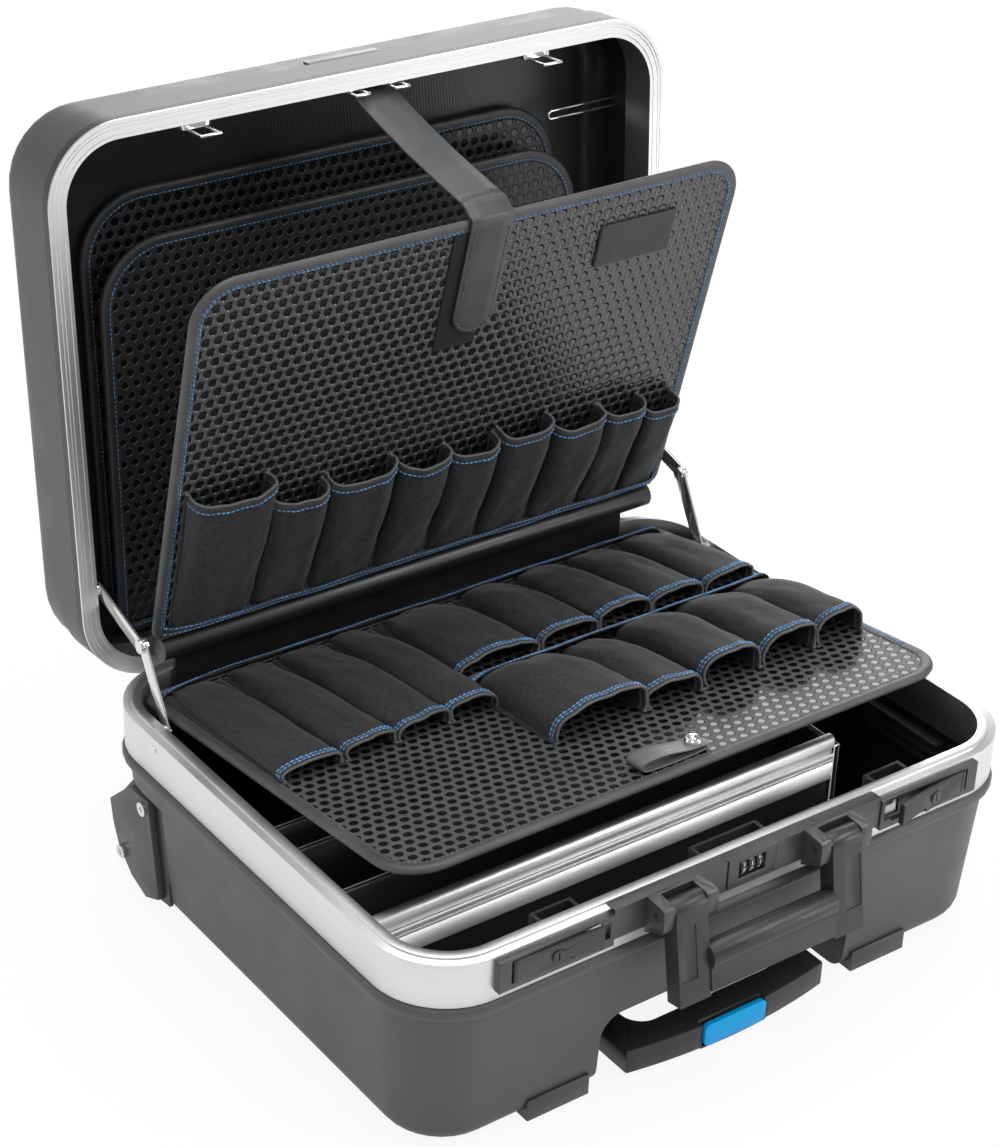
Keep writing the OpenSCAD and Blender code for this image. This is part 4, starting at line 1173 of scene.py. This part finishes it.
@dataclass
class PocketRow:
    """A row of pockets made from one sheet of nylon, sewn down between them.

    Attributes:
        sides: The seams between the pockets, along the board.
        closed_end: Place of the pockets' closed end along the board's Y, which is 0 at the hinge line.
        mouths: Places of their open ends, likewise.
        heights: How far their mouths stand off the board.
        start: Height of the closed end, as a share of the mouth's.
        rise: Share of the length over which the height grows.
        ease: How slowly it starts to grow.
        boxy: Shape of the arch, from a square one at 0 to a round one at 1.
        narrow: How much narrower the closed end is than the mouth.
        tuck: How far the arch turns in under itself, as an angle.
        web: Share of the width that lies flat at each seam.
        dip: How far the mouth's middle hangs behind its sides, or ahead of them where it is negative.
        slack: Least distance between the cloth and its seams.
        lean: How far the arches lean to one side or the other.
        flutter: Waviness of the mouth's edge.
        creases: Scale and depth of each size of crease.
        seams: Stitch lines on the hem, as shares of its width.
        closed_share: Below 1, each of the row's pieces gets its own copy of its mesh.
    """

    name: str
    board: ToolBoard
    side: Side
    sides: tuple[float, ...]
    closed_end: float
    mouths: tuple[float, ...]
    heights: tuple[float, ...]
    node: str
    band: Band
    seed: float = 0.0
    start: float = 0.3
    rise: float = 0.3
    ease: float = 2.0
    boxy: float = 0.75
    narrow: float = 0.10
    tuck: float = 0.5
    web: float = 0.045
    dip: float = 0.004
    hem: float = 0.0065
    cloth: float = 0.0010
    floor: float = 0.0031
    slack: float = 0.0005
    lean: float = 0.17
    flutter: float = 0.0014
    creases: tuple[tuple[float, float], ...] = ((1.0, 0.0019), (2.6, 0.0013), (6.1, 0.0005))
    seams: tuple[float, ...] = (0.9,)
    seam_lift: float = 0.0010
    closed_share: float = 1.0
    across_steps: int = 44
    along_steps: int = 30
    seam_steps: int = 50

    def place(self, index: int, s: float, t: float) -> Vector:
        """A point on one pocket's cloth in the board's own frame.

        Args:
            index: The pocket's number.
            s: From 0 at its left seam to 1 at its right one.
            t: From 0 at its closed end to 1 at its mouth.

        Returns:
            The point.
        """
        left, right = self.sides[index], self.sides[index + 1]
        half = (right - left) / 2
        filled = quarter(t / self.rise) ** self.ease
        tall = self.heights[index] * (self.start + (1 - self.start) * filled)
        tuck = self.tuck * (0.25 + 0.75 * filled)
        turn = min(max((s - self.web) / (1 - 2 * self.web), 0.0), 1.0)
        angle = math.pi + tuck - (math.pi + 2 * tuck) * turn
        out, up = math.cos(angle), math.sin(angle)
        foot = math.sin(tuck) ** 0.85
        wide = 1 - self.narrow * (1 - quarter(t) ** 1.5)
        x = (half - 0.0009) * wide * math.copysign(abs(out) ** self.boxy, out)
        z = tall * (math.copysign(abs(up) ** 0.85, up) + foot) / (1 + foot)
        y = self.closed_end + (self.mouths[index] - self.closed_end) * t
        seat = Vector((x * 32, y * 12 + index * 3.1, self.seed + z * 30))
        crease = sum(noise.noise(seat * scale) * depth for scale, depth in self.creases)
        x += out * crease + self.lean * math.sin(self.seed + index * 2.1) * z
        z += max(up, 0.0) * crease
        x = min(max(x, self.slack - half), half - self.slack)
        if s < self.web:
            x += (-half - x) * (1 - s / self.web)
        elif s > 1 - self.web:
            x += (half - x) * (s - 1 + self.web) / self.web
        flutter = noise.noise(Vector((x * 70, index * 5.3, self.seed))) * self.flutter
        y += self.dip * t * (1 - (x / half) ** 2) + flutter * t * t
        return Vector(((left + right) / 2 + x, y, self.side.value * (self.floor + z)))

    def lifted(self, index: int, s: float, t: float, lift: float) -> tuple[Vector, Vector]:
        """A point off one pocket's cloth.

        Args:
            index: The pocket's number.
            s: From 0 at its left seam to 1 at its right one.
            t: From 0 at its closed end to 1 at its mouth.
            lift: How far off the cloth the point is.

        Returns:
            The point and the direction away from the cloth there.
        """
        step = 0.008
        across = self.place(index, min(s + step, 1.0), t) - self.place(index, max(s - step, 0.0), t)
        along = self.place(index, s, min(t + step, 1.0)) - self.place(index, s, min(t, 1.0) - step)
        away = along.cross(across).normalized() * self.side.value
        return self.place(index, s, t) + away * lift, away

    def share(self, index: int) -> float:
        """The hem's width as a share of the pocket's length."""
        return self.hem / abs(self.mouths[index] - self.closed_end)

    def skin(self, name: str, finish: Finish, grids: Sequence[Sequence[Sequence[Vector]]],
             ring: bool) -> bpy.types.Object:
        """Makes one piece from a grid of points for each pocket.

        Args:
            name: The last part of the piece's name.
            finish: Its finish.
            grids: The pockets' points, row by row.
            ring: Whether each row closes on itself.

        Returns:
            The new object.
        """
        points, faces = [], []
        for grid in grids:
            base = len(points)
            points += [p for row in grid for p in row]
            faces += [tuple(base + i for i in face) for face in grid_faces(len(grid), len(grid[0]), ring)]
        return new_piece(f"{self.name}_{name}", points, faces, finish)

    def build(self) -> None:
        """Makes the row's cloth, hems and stitches."""
        across = [c / self.across_steps for c in range(self.across_steps + 1)]
        along = [(r / self.along_steps) ** 1.25 for r in range(self.along_steps + 1)]
        grids = [[[self.place(i, s, t) for s in across] for t in along] for i in range(len(self.heights))]
        cloth = self.skin("cloth", POCKET_CLOTH, grids, ring=False)
        modifier(cloth, "SOLIDIFY", thickness=self.cloth, offset=0.0)
        self.board.carry(cloth, Slot.POCKET, self.node)
        trim = [*self.build_hem(across), self.build_stitches(), *self.band.build()]
        if self.closed_share < 1:
            for piece in (cloth, *trim):
                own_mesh(piece)

    def build_hem(self, across: Sequence[float]) -> list[bpy.types.Object]:
        """Makes the folded hems at the mouths and the pale bead along each, a painted highlight on the
        mouth's edge.

        Args:
            across: The shares of a pocket's width where the cloth has points.

        Returns:
            Both pieces.
        """
        fold = ((1.0, 0.0003), (0.93, 0.0009), (0.5, 0.0010), (0.05, 0.0009), (0.0, 0.0), (0.05, -0.0009),
                (1.0, -0.0007))
        # a thin pale bead along the mouth's fold, painted highlight
        highlight_bead = ((0.09, 0.0), (0.03, 0.0010), (-0.05, 0.0008), (-0.09, 0.0), (-0.05, -0.0008),
                (0.03, -0.0010))
        made = []
        for name, finish, section in (("hem", HEM_CLOTH, fold), ("edge", MOUTH_HIGHLIGHT_CLOTH, highlight_bead)):
            grids = [[[self.lifted(i, s, 1 - self.share(i) * k, lift)[0] for k, lift in section]
                      for s in across] for i in range(len(self.heights))]
            made.append(self.board.carry(self.skin(name, finish, grids, ring=True), Slot.POCKET))
        return made

    def build_stitches(self) -> bpy.types.Object:
        """Makes the blue stitching along the hems.

        Returns:
            The stitches.
        """
        paths = []
        for index in range(len(self.heights)):
            for seam in self.seams:
                t = 1 - self.share(index) * seam
                shares = [0.05 + 0.9 * c / self.seam_steps for c in range(self.seam_steps + 1)]
                paths.append([self.lifted(index, s, t, self.seam_lift) for s in shares])
        return self.board.carry(SEAM.sew(f"{self.name}_stitches", paths, BLUE_THREAD), Slot.POCKET)


def pose_at(point: Vector, tilt: float, forward: float = 0.0) -> Matrix:
    """A frame turned about X by a tilt in degrees, moved along its own -Y from a point."""
    turned = Matrix.Translation(point) @ Matrix.Rotation(math.radians(tilt), 4, "X")
    return turned @ Matrix.Translation((0, -forward, 0))


@dataclass
class BoardStrap:
    """The strap from the lid over the front board's top edge, with its stitches and a near-black hook tape
    strip that is partly the strap's painted shadow.

    Attributes:
        skew: Angle of the end on the board, in degrees.
        reach: How far the end reaches down the board.
        off_board: Distance from the board's middle plane to the strap's.
        seam_x: Distance of the stitches from the strap's middle.
        seam_tip: How far the stitches bulge at the rounded end.
        sag: How far the free run sags.
        closed_share: Length of the free run that is left as the lid closes, as a share; not used.
    """

    board: ToolBoard
    x: float = 0.002
    skew: float = 0.4
    width: float = 0.034
    thick: float = 0.0028
    reach: float = 0.091
    round_end: float = 0.016
    off_board: float = 0.0048
    seam_x: float = 0.0138
    seam_tip: float = 0.0105
    seam_lift: float = 0.0014
    tape_and_shadow_thick: float = 0.0014
    sag: float = 0.003
    closed_share: float = 0.32

    def at(self, x: float, y: float, lift: float = 0.0) -> Vector:
        """A point on the strap's end, from the board's top edge, in the board's own frame."""
        turned = Matrix.Rotation(math.radians(self.skew), 4, "Z") @ Vector((x, y, 0))
        return self.edge() + turned + Vector((0, 0, -self.off_board - lift))

    def edge(self) -> Vector:
        """The middle of the strap on the board's top edge."""
        return Vector((self.x, -self.board.length, 0))

    def build(self) -> None:
        """Makes the strap's end, its stitches, its run to the lid and the hook tape strip, which is partly
        painted shadow.
        """
        low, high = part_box("strap")
        start = Vector((self.x, low.y, low.z + 0.0025))
        finish = Vector((self.x - 0.0010, high.y - 0.002, high.z - 0.0015))
        self.build_end(start, finish)
        self.build_stitches()
        self.build_run(start, finish)
        self.build_hook_tape_and_shadow()

    def build_end(self, start: Vector, finish: Vector) -> None:
        """Makes the end that lies on the board and bends over its top edge.

        Args:
            start: Where the strap's run to the lid starts.
            finish: Where that run ends.
        """
        shares = (1.0, 0.996, 0.985, 0.965, 0.94, 0.91, 0.87, 0.83, 0.7, 0.55, 0.4, 0.25, 0.06)
        over_edge = ((-0.2, -4.7), (-1.3, -3.9), (-2.0, -2.4), (-2.1, 0.0))
        path = [self.at(0, self.reach * share) for share in shares]
        path += [self.edge() + Vector((0, y * MM, z * MM)) for y, z in over_edge]
        to_board = self.board.pose.inverted()
        joined = to_board @ start
        bend = path[-1].lerp(joined, 0.5) + Vector((0, -0.0008, 0))
        path += [bend, joined, to_board @ start.lerp(finish, 0.02) + Vector((0, 0.0004, 0))]
        shape = Strap(self.width, self.thick, STRAP_LEATHER, self.round_end)
        self.board.carry(shape.lay("strap_end", path, Vector((1, 0, 0))), Slot.STRAP, "strap_end")

    def build_stitches(self) -> None:
        """Makes the stitches round the strap's end."""
        angles = [math.pi - math.pi * k / 14 for k in range(15)]
        tip = [self.at(self.seam_x * math.cos(angle), self.reach * 0.86 + self.seam_tip * math.sin(angle),
                       self.seam_lift) for angle in angles]
        first, last = (self.at(x, self.reach * 0.08, self.seam_lift) for x in (-self.seam_x, self.seam_x))
        path = [(point, Vector((0, 0, -1))) for point in (first, *tip, last)]
        self.board.carry(SEAM.sew("strap_end_stitches", [path], BLACK_THREAD), Slot.STRAP)

    def build_run(self, start: Vector, finish: Vector) -> None:
        """Makes the free run between the board's edge and the lid, riding on the strap's body.

        Args:
            start: Where it starts.
            finish: Where it ends.
        """
        shares = [i / 16 for i in range(17)]
        path = [start.lerp(finish, s) + Vector((0, 0, -self.sag * math.sin(math.pi * s))) for s in shares]
        run = Strap(self.width, self.thick, STRAP_LEATHER).lay("strap", path, Vector((1, 0.007, 0)))
        fix(run, "strap", Slot.STRAP, "strap")
        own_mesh(run)

    def build_hook_tape_and_shadow(self) -> None:
        """Makes the near-black strip of hook tape beside and below the strap's end, which also stands in
        for the strap's cast shadow on the board as painted shadow.
        """
        path = [self.edge() + Vector((-0.011, y, -0.0026)) for y in (0.102, 0.1015, 0.07, 0.03, 0.008)]
        shape = Strap(self.width, self.tape_and_shadow_thick, HOOK_TAPE_AND_SHADOW_CLOTH)
        self.board.carry(shape.lay("strap_hook_strip_and_shadow", path, Vector((1, 0, 0))))


@dataclass
class FingerLoop:
    """The loop that lifts the base board, and the ring of its snap."""

    board: ToolBoard
    x: float = 0.012
    y: float = -0.304
    width: float = 0.0165
    thick: float = 0.0014
    low: float = 0.0030
    high: float = 0.0115
    snap_height: float = 0.0090
    snap_steps: int = 32

    def build(self) -> None:
        """Makes the loop and the snap's ring."""
        self.build_loop()
        self.build_snap()

    def build_loop(self) -> None:
        """Makes the strip that runs from the snap and back to it."""
        low, high = self.low, self.high
        bends = ((9, low + 0.0040), (-8, low + 0.0045), (-28, high - 0.001), (-44.5, high - 0.001),
                 (-48.5, 0.0075), (-44.5, low + 0.001), (-28, low), (-10, low), (9, low + 0.0012))
        path = smooth_path([Vector((self.x + x * MM, self.y, z)) for x, z in bends], 5)
        loop = Strap(self.width, self.thick, LOOP_LEATHER).lay("finger_loop", path, Vector((0, 1, 0)))
        self.board.carry(loop, Slot.STRAP, "finger_loop")

    def build_snap(self) -> None:
        """Makes the pressed ring round the snap."""
        profile = ((0.0, 0.0004), (0.0012, 0.0004), (0.0016, 0.0016), (0.0022, 0.0019), (0.0028, 0.0014),
                   (0.0031, -0.0002), (0.0041, -0.0002), (0.0045, 0.0014), (0.0052, 0.0018),
                   (0.0059, 0.0012), (0.0062, -0.0003))
        middle = Vector((self.x, self.y, self.snap_height))
        rings = []
        for step in range(self.snap_steps):
            turn = Matrix.Rotation(math.tau * step / self.snap_steps, 4, "Z")
            rings.append([middle + turn @ Vector((r, 0, z)) for r, z in profile])
        points = [p for ring in rings + rings[:1] for p in ring]
        snap = new_piece("snap_ring", points, grid_faces(self.snap_steps + 1, len(profile)), BRIGHT_STEEL)
        modifier(snap, "WELD", merge_threshold=WELD_GAP)
        modifier(snap, "EDGE_SPLIT", split_angle=math.radians(45))
        self.board.carry(snap, Slot.STEEL)


@dataclass
class BoardSet:
    """The four tool boards, their pockets, strap, patch and finger loop."""

    front_tilt: float = -76.0
    front_forward: float = 0.0093
    base_tilt: float = -7.0
    patch_size: tuple[float, float] = (0.031, 0.015)
    patch_corner: float = 0.002
    patch_place: tuple[float, float, float] = (0.133, -0.250, -0.0019)

    def build(self) -> None:
        """Makes every board and what is on it."""
        front = self.build_front_board()
        base = self.build_base_board()
        self.build_rear_boards()
        self.build_front_pockets(front)
        self.build_base_pockets(base)
        BoardStrap(front).build()
        self.build_label_patch(front)
        FingerLoop(base).build()

    def build_front_board(self) -> ToolBoard:
        """Makes the board that leans out of the lid.

        Returns:
            The board.
        """
        pose = pose_at(joint_point("front_board_hinge"), self.front_tilt, self.front_forward)
        board = ToolBoard("front_board", "front_board", 0.440, 0.298, pose, ("front_board",),
                          ("front_board_binding",), cloth=FRONT_CLOTH)
        board.build()
        return board

    def build_base_board(self) -> ToolBoard:
        """Makes the board over the base, whose binding is sewn in blue at the right.

        Returns:
            The board.
        """
        pose = pose_at(joint_point("base_board_hinge"), self.base_tilt)
        board = ToolBoard("base_board", "base_board", 0.456, 0.322, pose, ("base_board",),
                          ("base_board_binding",), seams=(0.0014,), thread=BLACK_THREAD)
        board.build()
        x = board.width / 2 - 0.0048
        line = [(Vector((x, -0.03 - 0.013 * step, 0.0029)), Vector((0, 0, 1))) for step in range(20)]
        board.carry(SEAM.sew("base_board_edge_stitches", [line], BLUE_THREAD))
        return board

    def build_rear_boards(self) -> None:
        """Makes the two boards inside the lid, whose cloth and binding are darker copies as painted shade
        for their place deep in the lid.
        """
        for number, length, lean in ((1, 0.306, 0.6), (2, 0.296, 2.0)):
            body = f"rear_board_{number}"
            pose = pose_at(joint_point(f"{body}_hinge"), lean - math.degrees(LID_OPEN))
            ToolBoard(body, body, 0.400, length, pose, (body,), corner=0.05, stitched=(Side.UNDER,),
                      seams=(0.0022,), cloth=SHADED_REAR_CLOTH, edge=SHADED_REAR_BINDING).build()

    def build_front_pockets(self, board: ToolBoard) -> None:
        """Makes the nine pockets on the front board.

        Args:
            board: The front board.
        """
        sides = tuple(x * MM for x in (-209, -145, -99, -44, 1, 44, 90, 136, 175, 209))
        mouths = tuple(-y * MM for y in (130, 112, 114, 110, 108, 111, 104, 103, 96))
        band = Band("front_pocket_band", board, Side.UNDER, (-0.213, 0.213), -0.0020, -0.0140, 0.0068,
                    (0.1, 0.55))
        PocketRow("front_pockets", board, Side.UNDER, sides, -0.011, mouths, (0.0165,) * 9, "front_pockets",
                  band, seed=1.3, start=0.2, rise=1.0, ease=2.6, boxy=0.5, tuck=0.55, dip=0.0035,
                  closed_share=0.55).build()

    def build_base_pockets(self, board: ToolBoard) -> None:
        """Makes the two rows of pockets on the base board.

        Args:
            board: The base board.
        """
        sides = tuple(x * MM for x in (-220, -172, -132, -88, -48, 22, 74, 122, 171, 217))
        mouths = (-0.173,) * 4 + (-0.126,) * 5
        heights = tuple(z * MM for z in (11, 12, 13, 13.5, 15.5, 15.5, 15.5, 15, 14))
        band = Band("rear_row_band", board, Side.UPPER, (-0.221, 0.219), -0.0050, -0.0170, 0.0085,
                    (0.1, 0.5))
        PocketRow("rear_row", board, Side.UPPER, sides, -0.0150, mouths, heights, "base_pockets_rear", band,
                  seed=4.2, rise=0.5, boxy=0.85, narrow=0.34, dip=-0.003, seams=(0.95, 0.5)).build()
        sides = tuple(x * MM for x in (-54, 23, 72, 124, 174, 218))
        heights = tuple(z * MM for z in (23.5, 17, 23.5, 22.5, 21.5))
        band = Band("front_row_band", board, Side.UPPER, (-0.062, 0.219), -0.1255, -0.1445, 0.0120,
                    (0.08, 0.2), curl=0.012)
        PocketRow("front_row", board, Side.UPPER, sides, -0.1410, (-0.243,) * 5, heights,
                  "base_pockets_front", band, seed=7.7, start=0.35, rise=0.5, boxy=0.82, narrow=0.22,
                  dip=-0.004, tuck=0.45, seams=(0.95, 0.5)).build()

    def build_label_patch(self, board: ToolBoard) -> None:
        """Makes the plain patch sewn on the front board's upper right corner.

        Args:
            board: The front board.
        """
        wide, tall = self.patch_size
        outline = []
        for x, y, start in ((wide, tall, 0), (-wide, tall, 90), (-wide, -tall, 180), (wide, -tall, 270)):
            outline += arc(Vector((x, y, 0)), self.patch_corner, start, start + 90, 4)
        layers = ((1.0, 0.0), (1.0, -0.0012), (0.985, -0.0018), (0.96, -0.0020))
        rings = [[p * scale + Vector((0, 0, z)) for p in outline] for scale, z in layers]
        patch = loft("plain_patch", rings, PATCH_LEATHER)
        patch.data.polygons.foreach_set("use_smooth", [False] * len(patch.data.polygons))
        patch.matrix_world = board.pose @ Matrix.Translation(self.patch_place)
        fix(patch, board.body, Slot.BOARD)


# ---------------------------------------------------------------- case


@dataclass(frozen=True)
class Dressing:
    """A finish and a softened edge that some rigid pieces share."""

    finish: Finish
    bevel: float
    nodes: tuple[str, ...]
    edge: Finish | None = None


@dataclass
class CaseBody:
    """Shells, frames, feet, wheels and fittings that keep their CAD shape."""

    dressings: tuple[Dressing, ...] = (
        Dressing(BASE_PLASTIC, 0.0, ("base_shell",)),
        Dressing(LID_PLASTIC, 0.0, ("lid_shell",)),
        Dressing(BASE_ALUMINIUM, 0.0005, ("base_frame",)),
        Dressing(LID_ALUMINIUM, 0.0, ("lid_frame",)),
        Dressing(COVER_PLASTIC, 0.0015, ("wheel_cover_left", "wheel_cover_right")),
        Dressing(HARDWARE_PLASTIC, 0.0008, ("base_feet", "latch_plates", "lock_bar", "handle_brackets",
                                            "lock_housing")),
        Dressing(BLACK_PLASTIC, 0.0004, ("wheel_arches", "trolley_cover", "side_rails",
                                         "divider_board_front")),
        Dressing(CATCH_PLASTIC, 0.0004, ("catch_boxes",)),
        Dressing(RAIL_PLASTIC, 0.0004, ("board_rail",)),
        Dressing(LEVER_PLASTIC, 0.0006, ("latch_lever_left", "latch_lever_right")),
        Dressing(LEVER_PLASTIC, 0.0002, ("key_plug_left", "key_plug_right", "dial_1", "dial_2", "dial_3")),
        Dressing(BRIGHT_STEEL, 0.0003, ("wheel_axles", "cover_bolts", "frame_rivets", "hinge_base_leaves",
                                        "hinge_lid_leaves", "lid_catches", "wire_clip", "loop_snap",
                                        "stay_upper_left", "stay_upper_right", "stay_lower_left",
                                        "stay_lower_right")),
        Dressing(PROFILE_ALUMINIUM, 0.0005, ("divider_front",)),
        Dressing(BLACK_PLASTIC, 0.0007, ("dividers",), PROFILE_ALUMINIUM),
        Dressing(TUBE_ALUMINIUM, 0.0004, ("trolley_sleeves", "trolley_mid_tubes", "trolley_inner_tubes")),
        Dressing(LEVER_PLASTIC, 0.0003, ("badge_plate",)),
        Dressing(GRIP_PLASTIC, 0.0018, ("handle_arms", "handle_grip")),
        Dressing(BAR_PLASTIC, 0.0018, ("trolley_grip",)),
        Dressing(BUTTON_PLASTIC, 0.0018, ("trolley_button",)),
        Dressing(TYRE_RUBBER, 0.0012, ("wheel_left", "wheel_right")),
    )

    def build(self) -> None:
        """Gives every rigid CAD node its finish."""
        for dressing in self.dressings:
            for node in dressing.nodes:
                polish(node, dressing.finish, dressing.bevel, dressing.edge)


@dataclass
class NumberDials:
    """The digits on the lock's three dials, each dial turned a little further than the one before."""

    radius: float = 0.00695
    size: float = 0.0042
    relief: float = 0.0001
    digit_angle: float = 36.0
    dial_angle: float = 12.0

    def build(self) -> None:
        """Makes ten raised digits on each dial."""
        upright = Matrix.Translation((0, -self.radius, 0)) @ Matrix.Rotation(math.radians(90), 4, "X")
        for dial in (1, 2, 3):
            points, faces = [], []
            centre = Matrix.Translation(joint_point(f"dial_{dial}_spin"))
            for digit in range(10):
                mesh = self.digit_mesh(str(digit))
                angle = self.dial_angle * dial - self.digit_angle * digit
                place = centre @ Matrix.Rotation(math.radians(angle), 4, "X") @ upright
                base = len(points)
                points += [place @ v.co for v in mesh.vertices]
                faces += [tuple(base + i for i in p.vertices) for p in mesh.polygons]
                bpy.data.meshes.remove(mesh)
            piece = new_piece(f"dial_{dial}_digits", points, faces, DIGIT_PAINT, smooth=False)
            fix(piece, f"dial_{dial}", Slot.DIAL)

    def digit_mesh(self, digit: str) -> bpy.types.Mesh:
        """A mesh of one digit, flat in its own XY plane.

        Args:
            digit: The character.

        Returns:
            A new mesh.
        """
        curve = bpy.data.curves.new("digit", "FONT")
        curve.body = digit
        curve.size = self.size
        curve.align_x = "CENTER"
        curve.align_y = "CENTER"
        curve.extrude = self.relief
        curve.resolution_u = 3
        holder = bpy.data.objects.new("digit", curve)
        mesh = bpy.data.meshes.new_from_object(holder)
        bpy.data.objects.remove(holder)
        bpy.data.curves.remove(curve)
        return mesh


# ---------------------------------------------------------------- studio


@dataclass(frozen=True)
class Lamp:
    """A rectangular area light that faces the case."""

    name: str
    place: tuple[float, float, float]
    size: tuple[float, float]
    power: float

    def hang(self, target: Vector) -> None:
        """Adds the light to the scene.

        Args:
            target: The point that it faces.
        """
        light = bpy.data.lights.new(self.name, "AREA")
        light.shape = "RECTANGLE"
        light.size, light.size_y = self.size
        light.energy = self.power
        lamp = bpy.data.objects.new(self.name, light)
        bpy.context.scene.collection.objects.link(lamp)
        lamp.location = self.place
        lamp.rotation_euler = (target - Vector(self.place)).to_track_quat("-Z", "Y").to_euler()


@dataclass
class Studio:
    """Floor, lights and camera.

    Attributes:
        slide: How far the camera is moved to its right without a turn.
        rise: How far it is moved up, likewise.
        focal_pixels: Focal length in pixels of the picture.
        centre: Where the lens's axis meets the picture, in pixels.
        surroundings: Strength of the pale surroundings.
    """

    azimuth: float = -36.92
    elevation: float = 29.57
    roll: float = 2.09
    distance: float = 1.8309
    slide: float = -0.0421
    rise: float = 0.0909
    focal_pixels: float = 2675.8
    sensor: float = 36.0
    image: tuple[int, int] = (1000, 1147)
    centre: tuple[float, float] = (498.3, 573.6)
    floor_size: float = 30.0
    floor_height: float = -0.0002
    surroundings: float = 0.44
    lamps: tuple[Lamp, ...] = (
        Lamp("key", (-1.8, -1.6, 2.4), (1.6, 1.6), 20.0),
        Lamp("fill", (1.5, -1.6, 2.0), (1.4, 0.9), 24.0),
        Lamp("top", (0.1, 0.3, 3.0), (2.6, 2.6), 62.0),
        Lamp("edge", (-2.6, 1.4, 1.3), (1.2, 1.2), 10.0),
        Lamp("card", (1.9, 2.3, 1.15), (2.4, 1.1), 36.0),
        Lamp("low", (1.40, -1.60, 0.33), (0.6, 0.6), 6.0),
    )
    target: Vector = field(default_factory=lambda: Vector((0, SHELL_MIDDLE.y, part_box("base_frame")[1].z)))

    def build(self) -> None:
        """Makes the studio."""
        self.build_floor()
        self.build_lights()
        self.build_camera()
        view = bpy.context.scene.view_settings
        view.view_transform = "Standard"
        view.look = "None"

    def build_floor(self) -> None:
        """Makes the plain floor."""
        corners = [Vector((x * self.floor_size, y * self.floor_size, self.floor_height))
                   for x, y in ((-1, -1), (1, -1), (1, 1), (-1, 1))]
        new_piece("floor", corners, [(0, 1, 2, 3)], FloorPaint("floor_paint"), smooth=False)

    def build_lights(self) -> None:
        """Makes the soft lights and the pale surroundings."""
        world = bpy.context.scene.world or bpy.data.worlds.new("studio")
        bpy.context.scene.world = world
        world.use_nodes = True
        background = world.node_tree.nodes["Background"]
        background.inputs["Color"].default_value = (1.0, 1.0, 1.0, 1.0)
        background.inputs["Strength"].default_value = self.surroundings
        for lamp in self.lamps:
            lamp.hang(self.target)

    def build_camera(self) -> None:
        """Sets the camera and its viewing angle."""
        a, e, r = (math.radians(v) for v in (self.azimuth, self.elevation, self.roll))
        back = Vector((math.sin(a) * math.cos(e), -math.cos(a) * math.cos(e), math.sin(e)))
        level = Vector((math.cos(a), math.sin(a), 0))
        above = back.cross(level)
        right = level * math.cos(r) + above * math.sin(r)
        up = above * math.cos(r) - level * math.sin(r)
        place = self.target + back * self.distance + right * self.slide + up * self.rise
        width, height = self.image
        lens = bpy.data.cameras.new("camera")
        lens.sensor_fit = "VERTICAL"
        lens.sensor_height = self.sensor
        lens.lens = self.focal_pixels / height * self.sensor
        lens.shift_x = (width / 2 - self.centre[0]) / height
        lens.shift_y = (self.centre[1] - height / 2) / height
        lens.clip_start = 0.01
        camera = bpy.data.objects.new("camera", lens)
        bpy.context.scene.collection.objects.link(camera)
        camera.matrix_world = Matrix.Translation(place) @ Matrix((right, up, back)).transposed().to_4x4()
        bpy.context.scene.camera = camera


def main() -> None:
    """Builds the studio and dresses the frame."""
    logging.basicConfig(level=logging.INFO, format="%(message)s")
    Studio().build()
    CaseBody().build()
    BoardSet().build()
    NumberDials().build()
    bpy.context.view_layer.update()


if __name__ == "__main__":
    main()
